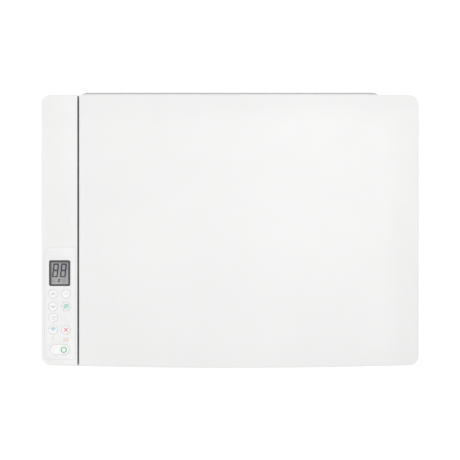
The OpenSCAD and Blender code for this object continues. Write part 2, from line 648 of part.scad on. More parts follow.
// toothed belt drawn as a plain loop in plan
module carriage_belt() color(rubber_c) translate([0, 0, 84.8]) linear_extrude(5) difference() {
    hull2(5.9);
    hull2(5.0);
}
module hull2(r) {
    translate([-157, 88 - r]) square([346, 2 * r]);
    translate([-157, 88]) circle(r = r);
    translate([189, 88]) circle(r = r);
}
module carriage_motor() color(steel) {
    cz(56, 80, -157, 88, 12);
    cz(79.9, 91.5, -157, 88, 1.5);
    // bracket to the left plate
    bx(-171, -160, 80, 98, 80, 81.6);
}
module pulley(x) {
    difference() {
        union() {
            cz(84.6, 90, x, 88, 4.7);
            cz(82.6, 84.5, x, 88, 6.8);
            cz(90.1, 91.2, x, 88, 6.8);
            cz(84, 91, x, 88, 4);
        }
        cz(80, 93, x, 88, 1.5 + fit);
    }
}
module carriage_pulley() color("goldenrod") pulley(-157);
module belt_idler() color("ivory") pulley(189);

// ---------- service station ----------
module service_station() color(dark) difference() {
    union() {
        difference() {
            bx(119.4, 191, -24, 44, 5.5, 46);
            bx(121, 189.4, -22, 42, 8, 47);
        }
        // guide posts of the cap sled and the wiper block
        for (x = [126, 184]) for (y = [-19.5, 34]) bx(x - 2, x + 2, y - 2, y + 2, 7, 46);
        bx(147, 159, 31, 40, 7, 50);
    }
    bx(150, 156, 30, 41, 46, 51);
}
module cap_sled() color([0.55, 0.55, 0.58]) difference() {
    union() {
        bx(122, 188, -17, 26, 43, 48);
        for (x = cart_x) difference() {
            bx(x + 18.6 - 10.4, x + 18.6 + 10.4, -15, 11, 47.9, 56.7);
            bx(x + 18.6 - 8.8, x + 18.6 + 8.8, -13, 9, 53, 57);
        }
    }
    // lightening pockets underneath
    for (x = [130, 158]) bx(x, x + 22, -13, 22, 42, 45);
}

// ---------- electronics ----------
module main_board() {
    color(board_c) bx(-194, -192.4, 20, 143.5, 12, 95);
    for (y = [30, 130]) color(dark) bx(-201.5, -194, y, y + 5, 20, 26);
    // chips, capacitors and connectors
    color(dark) bx(-192.5, -191.2, 60, 78, 12.8, 27);
    color(dark) bx(-192.5, -191.4, 90, 100, 16, 26);
    color("silver") for (y = [112, 122]) cx(-192.5, -186.5, [y, 20], 3);
    color("white") for (z = [84, 90]) bx(-192.5, -189, 30, 56, z, z + 4);
    // communication socket
    color("silver") difference() {
        bx(-192.4, -180.4, 132, 148.8, 32, 43);
        bx(-191.7, -181.1, 133.5, 149, 32.7, 42.3);
    }
    color("white") bx(-189.2, -183.6, 133.4, 142.6, 35.9, 39.1);
}
module power_supply() color([0.25, 0.25, 0.27]) difference() {
    bx(128.5, 195, 84, 126.5, 5.5, 45);
    for (i = [0:6]) bx(134 + i * 8, 138 + i * 8, 83, 86, 14, 40);
    for (i = [0:6]) bx(134 + i * 8, 138 + i * 8, 92, 120, 43, 46);
}
module power_inlet() {
    color(dark) difference() {
        bx(152, 178, 131, 150, 32.5, 45.5);
        front(136, 151) {
            translate([160.2, 39]) circle(r = 4.9);
            translate([169.8, 39]) circle(r = 4.9);
            translate([160.2, 34.4]) square([9.6, 9.2]);
        }
    }
    color("silver") for (x = [160.7, 169.3]) cy(135.9, 145, x, 39, 1.2);
    color(dark) bx(156, 174, 126.5, 131.1, 34, 44);
}

base_pan();
feet();
main_case();
scanner_tub();
scanner_bezel();
control_overlay();
display_module();
panel_board();
button_up();
button_down();
button_menu();
button_color_copy();
button_mono_copy();
button_wireless();
button_cancel();
power_button();
scanner_glass();
scan_rod();
scan_head();
scan_motor();
scan_pinion();
lid_shell();
lid_liner();
lid_hinge_posts();
cartridge_door();
output_tray();
tray_extender();
tray_stop();
rear_tray();
rear_tray_extension();
paper_guide_left();
paper_guide_right();
guide_pinion();
paper_ramp();
chassis();
platen();
carriage_rod();
carriage();
cartridge_black();
cartridge_color();
carriage_belt();
carriage_motor();
carriage_pulley();
belt_idler();
encoder_strip();
feed_roller();
pinch_rollers();
output_roller();
star_wheels();
pickup_roller();
feed_motor();
feed_pinion();
transfer_gear();
pickup_gear();
service_station();
cap_sled();
main_board();
power_supply();
power_inlet();
screws();
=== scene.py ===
import bpy, bmesh, json, math
from mathutils import Vector, Matrix

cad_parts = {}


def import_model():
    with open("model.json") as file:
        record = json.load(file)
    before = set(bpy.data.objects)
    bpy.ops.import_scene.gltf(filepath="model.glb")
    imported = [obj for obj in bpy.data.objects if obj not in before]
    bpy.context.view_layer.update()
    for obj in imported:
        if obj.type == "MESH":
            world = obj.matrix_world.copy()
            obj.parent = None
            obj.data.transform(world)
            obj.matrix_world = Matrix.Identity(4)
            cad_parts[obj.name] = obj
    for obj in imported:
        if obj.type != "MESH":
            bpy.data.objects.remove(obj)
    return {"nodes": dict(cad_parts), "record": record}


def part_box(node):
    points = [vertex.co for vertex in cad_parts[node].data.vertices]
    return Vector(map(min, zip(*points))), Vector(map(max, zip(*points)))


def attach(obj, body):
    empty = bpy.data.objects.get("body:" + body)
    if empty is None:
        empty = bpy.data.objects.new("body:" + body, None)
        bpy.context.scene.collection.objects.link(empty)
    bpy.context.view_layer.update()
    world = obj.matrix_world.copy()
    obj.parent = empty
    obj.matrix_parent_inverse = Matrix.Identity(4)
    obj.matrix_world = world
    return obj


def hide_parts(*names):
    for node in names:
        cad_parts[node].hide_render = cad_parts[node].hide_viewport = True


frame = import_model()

MM = 0.001
NODES = frame["nodes"]
BODY_OF = {}
for b, ns in (frame["record"].get("behaviour") or {}).get("bodies", {}).items():
    for n in ns:
        BODY_OF[n] = b
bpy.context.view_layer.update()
SC = bpy.context.scene
COL = SC.collection


# ------------------------------------------------------------------ materials
def lin(c):
    return tuple((v / 12.92 if v <= 0.04045 else ((v + 0.055) / 1.055) ** 2.4) for v in (x / 255 for x in c))


def new_mat(name):
    m = bpy.data.materials.new(name)
    m.use_nodes = True
    nt = m.node_tree
    for n in list(nt.nodes):
        nt.nodes.remove(n)
    out = nt.nodes.new("ShaderNodeOutputMaterial")
    bs = nt.nodes.new("ShaderNodeBsdfPrincipled")
    nt.links.new(bs.outputs[0], out.inputs[0])
    tc = nt.nodes.new("ShaderNodeTexCoord")
    return m, nt, bs, tc


def noise(nt, tc, scale, detail=2.0, rough=0.5, stretch=None):
    src = tc.outputs["Object"]
    if stretch:
        mp = nt.nodes.new("ShaderNodeMapping")
        mp.inputs["Scale"].default_value = stretch
        nt.links.new(src, mp.inputs["Vector"])
        src = mp.outputs[0]
    n = nt.nodes.new("ShaderNodeTexNoise")
    n.inputs["Scale"].default_value = scale
    n.inputs["Detail"].default_value = detail
    n.inputs["Roughness"].default_value = rough
    nt.links.new(src, n.inputs["Vector"])
    return n.outputs["Fac"]


def vary(nt, fac, a, b, lo=0.3, hi=0.7):
    r = nt.nodes.new("ShaderNodeMapRange")
    r.inputs["From Min"].default_value = lo
    r.inputs["From Max"].default_value = hi
    r.inputs["To Min"].default_value = a
    r.inputs["To Max"].default_value = b
    nt.links.new(fac, r.inputs["Value"])
    return r.outputs[0]


def tint(nt, fac, c0, c1, lo=0.3, hi=0.7):
    r = nt.nodes.new("ShaderNodeValToRGB")
    r.color_ramp.elements[0].position = lo
    r.color_ramp.elements[1].position = hi
    r.color_ramp.elements[0].color = (*c0, 1)
    r.color_ramp.elements[1].color = (*c1, 1)
    nt.links.new(fac, r.inputs[0])
    return r.outputs[0]


def bump(nt, bs, h, strength, dist, normal=None):
    b = nt.nodes.new("ShaderNodeBump")
    b.inputs["Strength"].default_value = strength
    b.inputs["Distance"].default_value = dist
    nt.links.new(h, b.inputs["Height"])
    if normal is not None:
        nt.links.new(normal, b.inputs["Normal"])
    nt.links.new(b.outputs[0], bs.inputs["Normal"])
    return b.outputs[0]


def mix_c(nt, fac, a, b):
    m = nt.nodes.new("ShaderNodeMix")
    m.data_type = "RGBA"
    nt.links.new(fac, m.inputs[0])
    nt.links.new(a, m.inputs[6])
    nt.links.new(b, m.inputs[7])
    return m.outputs[2]


def plastic(name, c, rough=0.42, var=0.012, grain=2600, gs=0.12, gd=0.00004, coat=0.0, ior=1.46, wave=0.0, sss=0.0):
    """moulded plastic: fine spark-eroded grain, slow tone drift, patchy gloss"""
    m, nt, bs, tc = new_mat(name)
    big = noise(nt, tc, 9, 3)
    d = tuple(max(0, v * (1 - var)) for v in c)
    e = tuple(min(1, v * (1 + var)) for v in c)
    nt.links.new(tint(nt, big, d, e), bs.inputs["Base Color"])
    mid = noise(nt, tc, 55, 4, 0.6)
    nt.links.new(vary(nt, mid, rough - 0.04, rough + 0.05), bs.inputs["Roughness"])
    n1 = None
    if wave > 0:
        b0 = nt.nodes.new("ShaderNodeBump")
        b0.inputs["Strength"].default_value = wave
        b0.inputs["Distance"].default_value = 0.0004
        nt.links.new(noise(nt, tc, 7, 1), b0.inputs["Height"])
        n1 = b0.outputs[0]
    fine = noise(nt, tc, grain, 3, 0.65)
    bump(nt, bs, fine, gs, gd, n1)
    bs.inputs["IOR"].default_value = ior
    if coat:
        bs.inputs["Coat Weight"].default_value = coat
        bs.inputs["Coat Roughness"].default_value = 0.12
    if sss:
        bs.inputs["Subsurface Weight"].default_value = sss
        bs.inputs["Subsurface Scale"].default_value = 0.001
    return m


def metal(name, c, rough=0.3, stretch=(1, 60, 60), scale=40, aniso=0.0, gs=0.15):
    m, nt, bs, tc = new_mat(name)
    br = noise(nt, tc, scale, 3, 0.6, stretch)
    d = tuple(v * 0.9 for v in c)
    nt.links.new(tint(nt, br, d, c), bs.inputs["Base Color"])
    nt.links.new(vary(nt, br, rough - 0.08, rough + 0.1), bs.inputs["Roughness"])
    bump(nt, bs, br, gs, 0.00003)
    bs.inputs["Metallic"].default_value = 1.0
    return m


def painted_margin_shade(m, k):
    """painted shade: the right and rear borders of the lid are coloured a touch darker than its middle"""
    nt = m.node_tree
    bs = [n for n in nt.nodes if n.type == "BSDF_PRINCIPLED"][0]
    src = bs.inputs["Base Color"].links[0].from_socket
    tc = nt.nodes.new("ShaderNodeTexCoord")
    sp = nt.nodes.new("ShaderNodeSeparateXYZ")
    nt.links.new(tc.outputs["Object"], sp.inputs[0])

    def ramp(axis, lo, hi, a=0.0, b=1.0):
        r = nt.nodes.new("ShaderNodeMapRange")
        r.interpolation_type = "SMOOTHSTEP"
        for key, v in (("From Min", lo), ("From Max", hi), ("To Min", a), ("To Max", b)):
            r.inputs[key].default_value = v
        nt.links.new(sp.outputs[axis], r.inputs["Value"])
        return r.outputs[0]

    def calc(op, a, b):
        n = nt.nodes.new("ShaderNodeMath")
        n.operation = op
        nt.links.new(a, n.inputs[0])
        nt.links.new(b, n.inputs[1])
        return n.outputs[0]
    # mask of the painted shade along the rear and right borders of the lid
    rear = calc("MULTIPLY", ramp("Y", 0.112, 0.144), ramp("X", -0.15, 0.07, 0.35, 1.0))
    painted_shade_mask = calc("MAXIMUM", rear, ramp("X", 0.168, 0.199, 0.0, 0.75))
    mx = nt.nodes.new("ShaderNodeMix")
    mx.data_type = "RGBA"
    mx.blend_type = "MULTIPLY"
    nt.links.new(painted_shade_mask, mx.inputs[0])
    nt.links.new(src, mx.inputs[6])
    mx.inputs[7].default_value = (k, k, k, 1)
    nt.links.new(mx.outputs[2], bs.inputs["Base Color"])


M = {}
M["white_shell"] = plastic("white_shell", (0.893, 0.893, 0.887), 0.44)
M["lid_white"] = plastic("lid_white", (0.867, 0.867, 0.862), 0.40, gs=0.08)
# the lid's right and rear borders get painted shade in their colour
painted_margin_shade(M["lid_white"], 0.962)
M["panel_film"] = plastic("panel_film", (0.882, 0.882, 0.879), 0.36, grain=5200, gs=0.05, gd=0.00002)
M["button_white"] = plastic("button_white", (0.93, 0.93, 0.928), 0.33, grain=6000, gs=0.04, gd=0.00002)
M["grey_tray"] = plastic("grey_tray", (0.52, 0.52, 0.515), 0.5, gs=0.2, gd=0.00006)
M["dark_frame"] = plastic("dark_frame", (0.030, 0.030, 0.032), 0.48, var=0.12, gs=0.25, gd=0.00006)
# dark grey for the groove between strip and lid: painted shade
M["groove_shade_dark"] = plastic("groove_shade_dark", (0.36, 0.36, 0.362), 0.6, var=0.08, gs=0.15)
# grey for the top edge of the rear cover: painted shade
M["rim_shade_grey"] = plastic("rim_shade_grey", (0.50, 0.50, 0.495), 0.46, gs=0.15)
M["liner"] = plastic("liner", (0.9, 0.9, 0.89), 0.62, grain=1400, gs=0.25, gd=0.00006)
M["gear_white"] = plastic("gear_white", (0.72, 0.70, 0.62), 0.38, gs=0.05, sss=0.05)
M["ink_black"] = plastic("ink_black", (0.022, 0.022, 0.023), 0.3, var=0.1, gs=0.1)
M["ink_color"] = plastic("ink_color", (0.03, 0.034, 0.045), 0.3, var=0.1, gs=0.1)
M["label_blue"] = plastic("label_blue", (0.08, 0.32, 0.55), 0.3, gs=0.05)
M["label_grey"] = plastic("label_grey", (0.35, 0.35, 0.36), 0.3, gs=0.05)
M["rubber"] = plastic("rubber", (0.020, 0.020, 0.021), 0.72, var=0.15, grain=1800, gs=0.35, gd=0.00008)
M["belt_rubber"] = plastic("belt_rubber", (0.016, 0.016, 0.016), 0.66, var=0.15, grain=1500, gs=0.3, gd=0.00008)
M["clear_film"] = plastic("clear_film", (0.30, 0.30, 0.32), 0.2, gs=0.02)
M["lcd_frame"] = plastic("lcd_frame", (0.045, 0.045, 0.044), 0.34, var=0.10, grain=5000, gs=0.05, coat=0.15)
M["segment"] = plastic("segment", (0.050, 0.046, 0.058), 0.45, var=0.12, grain=6000, gs=0.03)
M["segment_faint"] = plastic("segment_faint", (0.25, 0.245, 0.262), 0.45, var=0.08, grain=6000, gs=0.03)
M["ink_grey"] = plastic("ink_grey", (0.46, 0.46, 0.46), 0.45, var=0.04, grain=6000, gs=0.03)
M["ink_soft"] = plastic("ink_soft", (0.66, 0.66, 0.66), 0.45, var=0.04, grain=6000, gs=0.03)
M["ink_teal"] = plastic("ink_teal", (0.44, 0.76, 0.66), 0.45, var=0.05, grain=6000, gs=0.03)
M["ink_tealdark"] = plastic("ink_tealdark", (0.33, 0.60, 0.53), 0.45, var=0.05, grain=6000, gs=0.03)
M["ink_blue"] = plastic("ink_blue", (0.38, 0.66, 0.82), 0.45, var=0.05, grain=6000, gs=0.03)
M["ink_red"] = plastic("ink_red", (0.80, 0.06, 0.14), 0.45, var=0.05, grain=6000, gs=0.03)
M["ink_green"] = plastic("ink_green", (0.16, 0.56, 0.25), 0.45, var=0.05, grain=6000, gs=0.03)
M["ink_orange"] = plastic("ink_orange", (0.87, 0.71, 0.60), 0.45, var=0.05, grain=6000, gs=0.03)
M["steel"] = metal("steel", (0.56, 0.57, 0.58), 0.34, (1, 1, 30), 90)
M["polished_rod"] = metal("polished_rod", (0.72, 0.72, 0.73), 0.14, (1, 80, 80), 30, gs=0.05)
M["motor_can"] = metal("motor_can", (0.50, 0.51, 0.52), 0.3, (30, 1, 1), 80)
M["brass"] = metal("brass", (0.72, 0.50, 0.22), 0.26, (40, 1, 1), 60)


def lcd_mat():
    m, nt, bs, tc = new_mat("lcd_face")
    sep = nt.nodes.new("ShaderNodeSeparateXYZ")
    nt.links.new(tc.outputs["Object"], sep.inputs[0])
    # the screen runs lighter towards the lower left and darker towards the upper right: painted shading across its face
    painted_shade_x = vary(nt, sep.outputs["X"], 0, 1, -0.2016, -0.1822)
    painted_shade_y = vary(nt, sep.outputs["Y"], 0, 1, -0.0612, -0.0362)
    cx = tint(nt, painted_shade_x, lin((162, 162, 158)), lin((132, 130, 140)), 0.0, 1.0)
    cy = tint(nt, painted_shade_y, lin((172, 172, 169)), lin((136, 135, 141)), 0.0, 0.8)
    mx = nt.nodes.new("ShaderNodeMix")
    mx.data_type = "RGBA"
    nt.links.new(noise(nt, tc, 120, 2), mx.inputs[0])
    nt.links.new(cx, mx.inputs[6])
    nt.links.new(cy, mx.inputs[7])
    nt.links.new(mx.outputs[2], bs.inputs["Base Color"])
    nt.links.new(vary(nt, noise(nt, tc, 900, 2), 0.3, 0.4), bs.inputs["Roughness"])
    bump(nt, bs, noise(nt, tc, 3000, 2), 0.03, 0.00002)
    bs.inputs["Coat Weight"].default_value = 0.2
    bs.inputs["Coat Roughness"].default_value = 0.15
    return m


def pcb_mat():
    m, nt, bs, tc = new_mat("circuit")
    w = nt.nodes.new("ShaderNodeTexVoronoi")
    w.feature = "DISTANCE_TO_EDGE"
    w.distance = "MANHATTAN"
    w.inputs["Scale"].default_value = 260
    nt.links.new(tc.outputs["Object"], w.inputs["Vector"])
    nt.links.new(tint(nt, w.outputs["Distance"], (0.05, 0.26, 0.13), (0.012, 0.11, 0.055), 0.02, 0.06), bs.inputs["Base Color"])
    nt.links.new(vary(nt, noise(nt, tc, 90, 2), 0.25, 0.4), bs.inputs["Roughness"])
    bump(nt, bs, w.outputs["Distance"], 0.2, 0.00005)
    return m


def glass_mat():
    m, nt, bs, tc = new_mat("scan_glass")
    nt.links.new(tint(nt, noise(nt, tc, 12, 2), (0.80, 0.88, 0.86), (0.84, 0.91, 0.89)), bs.inputs["Base Color"])
    nt.links.new(vary(nt, noise(nt, tc, 60, 3), 0.02, 0.06), bs.inputs["Roughness"])
    bs.inputs["Transmission Weight"].default_value = 0.9
    bs.inputs["IOR"].default_value = 1.5
    return m


M["lcd_face"] = lcd_mat()
M["circuit"] = pcb_mat()
M["scan_glass"] = glass_mat()


# ------------------------------------------------------------------ mesh tools
def new_obj(name, verts, faces, mats, fmat=None, smooth=True, sharp=32):
    me = bpy.data.meshes.new(name)
    me.from_pydata([tuple(v) for v in verts], [], faces)
    for m in mats:
        me.materials.append(m)
    if fmat:
        for p, k in zip(me.polygons, fmat):
            p.material_index = k
    me.validate()
    o = bpy.data.objects.new(name, me)
    COL.objects.link(o)
    tidy(o, smooth, sharp)
    return o


def tidy(o, smooth=True, sharp=32):
    """outward normals, smooth faces and sharp edges by angle"""
    bm = bmesh.new()
    bm.from_mesh(o.data)
    bmesh.ops.recalc_face_normals(bm, faces=bm.faces)
    for f in bm.faces:
        f.smooth = smooth
    for e in bm.edges:
        if len(e.link_faces) == 2 and e.calc_face_angle(0) > math.radians(sharp):
            e.smooth = False
        elif len(e.link_faces) != 2:
            e.smooth = False
    bm.to_mesh(o.data)
    bm.free()


def ride(o, body, rep=()):
    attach(o, body)
    if rep:
        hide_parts(*rep)
    return o


def bow(x):
    return -155.4 + 2.9 * (x / 203.0) ** 2


def arc(cx, cy, r, a0, a1, n, ends=True):
    pts = []
    for i in range(n + 1):
        a = math.radians(a0 + (a1 - a0) * i / n)
        pts.append((cx + r * math.cos(a), cy + r * math.sin(a)))
    return pts if ends else pts[1:-1]


def plan(xl, xr, o, rl, rr, nc=16, nf=60, y1=152.0):
    """outline of the body between xl and xr, moved inwards by o"""
    a, b = xl + o, xr - o
    l, r = max(rl - o, 0.4), max(rr - o, 0.4)
    t = y1 - o
    pts = arc(a + l, bow(a + l) + o + l, l, 180, 270, nc)
    for i in range(1, nf):
        x = a + l + (b - r - a - l) * i / nf
        pts.append((x, bow(x) + o))
    pts += arc(b - r, bow(b - r) + o + r, r, 270, 360, nc)
    pts += arc(b - r, t - r, r, 0, 90, nc)
    pts += arc(a + l, t - l, l, 90, 180, nc)
    return pts


def rrect(x0, x1, y0, y1, r, n=10, r2=None):
    """rounded rectangle, counter-clockwise; r2 = radii of (bl, br, tr, tl)"""
    q = r2 or (r, r, r, r)
    pts = arc(x0 + q[0], y0 + q[0], q[0], 180, 270, n) + arc(x1 - q[1], y0 + q[1], q[1], 270, 360, n)
    pts += arc(x1 - q[2], y1 - q[2], q[2], 0, 90, n) + arc(x0 + q[3], y1 - q[3], q[3], 90, 180, n)
    out = []
    for p in pts:
        if not out or math.dist(p, out[-1]) > 1e-5:
            out.append(p)
    if math.dist(out[0], out[-1]) < 1e-5:
        out.pop()
    return out


def circle(cx, cy, r, n=48, a0=0):
    return [(cx + r * math.cos(a0 + 2 * math.pi * i / n), cy + r * math.sin(a0 + 2 * math.pi * i / n)) for i in range(n)]


def curve_mesh(name, loops, z0, z1, bev=0.0, seg=3, mats=(), sharp=32, smooth=True, keep=False):
    """flat shape with holes, extruded z0..z1 (mm) with rounded edges of radius bev; closed mesh.
    Outer loop first, inner loops are holes (separate curves)."""
    cu = bpy.data.curves.new(name, "CURVE")
    cu.dimensions = "2D"
    cu.fill_mode = "BOTH"
    for lp in loops:
        sp = cu.splines.new("POLY")
        sp.points.add(len(lp) - 1)
        for p, q in zip(sp.points, lp):
            p.co = (q[0] * MM, q[1] * MM, 0, 1)
        sp.use_cyclic_u = True
    cu.offset = -bev * MM
    cu.extrude = (z1 - z0) / 2 * MM - bev * MM
    cu.bevel_depth = bev * MM
    cu.bevel_resolution = seg
    tmp = bpy.data.objects.new(name + "_c", cu)
    COL.objects.link(tmp)
    bpy.context.view_layer.update()
    dg = bpy.context.evaluated_depsgraph_get()
    me = bpy.data.meshes.new_from_object(tmp.evaluated_get(dg))
    bpy.data.objects.remove(tmp)
    bpy.data.curves.remove(cu)
    me.name = name
    me.materials.clear()
    for m in mats:
        me.materials.append(m)
    o = bpy.data.objects.new(name, me)
    COL.objects.link(o)
    bm = bmesh.new()
    bm.from_mesh(me)
    bmesh.ops.remove_doubles(bm, verts=bm.verts, dist=2e-6)
    for v in bm.verts:
        v.co.z += (z0 + z1) / 2 * MM
    bm.to_mesh(me)
    bm.free()
    tidy(o, smooth, sharp)
    return o


def loft(name, rings, mats, fmat=None, caps=(True, True), sharp=32, smooth=True):
    """closed skin through rings of equal point count; rings are lists of (x, y, z) in mm"""
    n = len(rings[0])
    verts, faces, fm = [], [], []
    for r in rings:
        verts += [(p[0] * MM, p[1] * MM, p[2] * MM) for p in r]
    for k in range(len(rings) - 1):
        for i in range(n):
            j = (i + 1) % n
            faces.append((k * n + i, k * n + j, (k + 1) * n + j, (k + 1) * n + i))
            fm.append(fmat[k] if fmat else 0)
    if caps[0]:
        faces.append(tuple(reversed(range(n))))
        fm.append(fmat[0] if fmat else 0)
    if caps[1]:
        faces.append(tuple(range((len(rings) - 1) * n, len(rings) * n)))
        fm.append(fmat[-1] if fmat else 0)
    return new_obj(name, verts, faces, mats, fm, smooth, sharp)


def rounded_block(name, x0, x1, y0, y1, z0, z1, rc, re, mats, n=8, ne=4, top=True, bottom=True):
    """block with plan corner radius rc and edge radius re at top and bottom"""
    rings = []
    if bottom:
        for i in range(ne + 1):
            a = math.pi / 2 * i / ne
            d = re * (1 - math.sin(a))
            rings.append([(x, y, z0 + re * (1 - math.cos(a))) for x, y in rrect(x0 + d, x1 - d, y0 + d, y1 - d, max(rc - d, 0.02), n)])
    else:
        rings.append([(x, y, z0) for x, y in rrect(x0, x1, y0, y1, rc, n)])
    if top:
        for i in range(ne + 1):
            a = math.pi / 2 * i / ne
            d = re * (1 - math.cos(a))
            rings.append([(x, y, z1 - re + re * math.sin(a)) for x, y in rrect(x0 + d, x1 - d, y0 + d, y1 - d, max(rc - d, 0.02), n)])
    else:
        rings.append([(x, y, z1) for x, y in rrect(x0, x1, y0, y1, rc, n)])
    return loft(name, rings, mats)


def join(name, parts):
    """one object from several, materials kept"""
    me = bpy.data.meshes.new(name)
    bm = bmesh.new()
    slots = []
    for o in parts:
        b2 = bmesh.new()
        b2.from_mesh(o.data)
        idx = {}
        for i, m in enumerate(o.data.materials):
            if m not in slots:
                slots.append(m)
            idx[i] = slots.index(m)
        for f in b2.faces:
            f.material_index = idx.get(f.material_index, 0)
        tmp = bpy.data.meshes.new("tmp")
        b2.to_mesh(tmp)
        b2.free()
        bm.from_mesh(tmp)
        bpy.data.meshes.remove(tmp)
    bm.to_mesh(me)
    bm.free()
    for m in slots:
        me.materials.append(m)
    for o in parts:
        old = o.data
        bpy.data.objects.remove(o)
        bpy.data.meshes.remove(old)
    o = bpy.data.objects.new(name, me)
    COL.objects.link(o)
    return o


# ------------------------------------------------------------------ lid
LID_X, STRIP_X, HW = -169.7, -171.5, 212.5


def smooth01(t):
    t = max(0.0, min(1.0, t))
    return t * t * (3 - 2 * t)


def plan2(xl, xr, fo, y1, rbl, rbr, rtr, rtl, z, nc=14, nf=64):
    """outline with its own inset on each side, as 3-D points at height z"""
    l, r = max(rbl, 0.3), max(rbr, 0.3)
    pts = arc(xl + l, bow(xl + l) + fo + l, l, 180, 270, nc)
    for i in range(1, nf):
        x = xl + l + (xr - r - xl - l) * i / nf
        pts.append((x, bow(x) + fo))
    pts += arc(xr - r, bow(xr - r) + fo + r, r, 270, 360, nc)
    pts += arc(xr - max(rtr, 0.3), y1 - max(rtr, 0.3), max(rtr, 0.3), 0, 90, nc)
    pts += arc(xl + max(rtl, 0.3), y1 - max(rtl, 0.3), max(rtl, 0.3), 90, 180, nc)
    return [(x, y, z) for x, y in pts]


R_FRONT, R_REAR, R_STRIP = 10.8, 11.0, 11.3      # corner radii seen from above


def lid_ring(ol, o, z, k=1.0):
    return plan2(LID_X + ol, HW - o, o, 152 - o, 1 - ol, R_FRONT - o * k, R_REAR - o * k, 1 - ol, z)


def build_lid():
    rim = 1.3      # how much lower the outer rim is than the middle of the lid
    ze = 150 - rim  # top of the rim before its rounded edge
    re, rl = 2.0, 0.4
    rings, fm = [], []

    def put(r, m=0):
        rings.append(r)
        fm.append(m)
    # underside of the wall, rounded a little, then up the outside
    put(lid_ring(2.5, 2.5, 139.9), 1)
    put(lid_ring(2.4, 2.4, 139.5), 1)
    put(lid_ring(0.2, 0.5, 139.5))
    put(lid_ring(0.06, 0.15, 139.62))
    put(lid_ring(0, 0, 140.0))
    put(lid_ring(0, 0, 141.5))
    put(lid_ring(0, 0, ze - re))
    for i in range(1, 9):
        a = math.pi / 2 * i / 8
        put(plan2(LID_X + rl * (1 - math.cos(a)), HW - re * (1 - math.cos(a)), re * (1 - math.cos(a)), 152 - re * (1 - math.cos(a)),
                  0.7, R_FRONT - re * (1 - math.cos(a)), R_REAR - re * (1 - math.cos(a)), 0.7, 0))
        # the left edge is crisp and level with the strip, the other edges drop to the rim
        ring = rings[-1]
        rings[-1] = [(x, y, (ze - re + re * math.sin(a))) for x, y, z in ring]
    # broad soft shoulders: rear 24, right 28, front 31 mm wide
    n = 12
    for i in range(1, n + 1):
        t = i / n
        put(plan2(LID_X + rl + t * 1.5, HW - re - t * 26, re + t * 29.5, 152 - re - t * 22,
                  0.7 + t * 3, R_FRONT - re + t * 8, R_REAR - re + t * 8, 0.7 + t * 3, ze + (rim - 0.12) * math.sin(math.pi / 2 * t)))
    for t in (0.15, 0.5, 0.8):
        x0, x1 = LID_X + rl + 1.5, HW - re - 26
        put(plan2(x0 + t * 100, x1 - t * 100, re + 29.5 + t * 85, 152 - re - 22 - t * 85, 3.7, R_FRONT - re + 8, R_REAR - re + 8, 3.7, 150 - 0.12 * (1 - t) ** 2))
    top = rings[-1]
    # underside
    nr = len(rings[0])
    verts, faces, mi = [], [], []
    for r in rings:
        verts += r
    # keep the left edge level: points near the left wall rise back to full height
    out = []
    for x, y, z in verts:
        if z > 145.5:
            # the left edge stays level with the strip, the rear one drops only a little
            k = max(0.78 * (1 - smooth01((x - LID_X) / 40)), 0.85 * smooth01((y - 70) / 60))
            z = 150 - (150 - z) * (1 - k * smooth01((z - 145.5) / 3))
        if z < 140.5 and y < bow(x) + 1.0 and -46 < x < 96:
            # shallow finger scoop under the front edge
            y += 1.2 * smooth01((x + 46) / 10) * smooth01((96 - x) / 10)
        out.append((x, y, min(z, 150.0)))
    verts = out
    for k in range(len(rings) - 1):
        for i in range(nr):
            j = (i + 1) % nr
            faces.append((k * nr + i, k * nr + j, (k + 1) * nr + j, (k + 1) * nr + i))
            mi.append(1 if k < 2 else 0)
    c = len(verts)
    cz = 150.0
    faces.append(tuple(range((len(rings) - 1) * nr, len(rings) * nr)))
    mi.append(0)
    # inside: up the inner wall and across under the top
    inner = [lid_ring(2.5, 2.5, 139.9), lid_ring(2.5, 2.5, 147.0), lid_ring(2.9, 3.0, 147.5)]
    base = len(verts)
    for r in inner[1:]:
        verts += r
    for a0, b0 in ((0, base), (base, base + nr)):
        for i in range(nr):
            j = (i + 1) % nr
            faces.append((b0 + i, b0 + j, a0 + j, a0 + i))
            mi.append(1)
    faces.append(tuple(reversed(range(base + nr, base + 2 * nr))))
    mi.append(1)
    verts = [(x * MM, y * MM, z * MM) for x, y, z in verts]
    shell = new_obj("lid_top", verts, faces, [M["lid_white"], M["white_shell"]], mi, True, 30)
    parts = [shell]
    # hinge ears, rounded plates that hang inside
    for x in (-110, 150):
        for s in (-1, 1):
            xc = x + s * 11.9
            prof = [(143, 147.8), (143, 141.7)] + arc(146, 141.7, 3, 180, 360, 14)[1:] + [(149.0, 145.6), (149.0, 147.8)]
            ear = curve_mesh("ear", [prof, circle(146, 141.7, 1.75, 24)], -1.5, 1.5, 0.25, 2, [M["white_shell"]])
            for v in ear.data.vertices:
                a, b, c = v.co
                v.co = (xc * MM + c, a, b)
            tidy(ear, True, 40)
            parts.append(ear)
    for xx, y0, y1 in [(v, 99, 140) for v in (-135, -60, 0, 60, 120, 180)] + [(v, -148, 99) for v in (180, 195)]:
        prof = [(y0, 147.8), (y0, 145.0), (y0 + 1.4, 144.0), (y1 - 1.4, 144.0), (y1, 145.0), (y1, 147.8)]
        parts.append(loft("rib", [[(xx - 1, y, z) for y, z in prof], [(xx + 1, y, z) for y, z in prof]], [M["white_shell"]]))
    o = join("lid_shell_look", parts)
    return ride(o, "lid", ["lid_shell"])


build_lid()


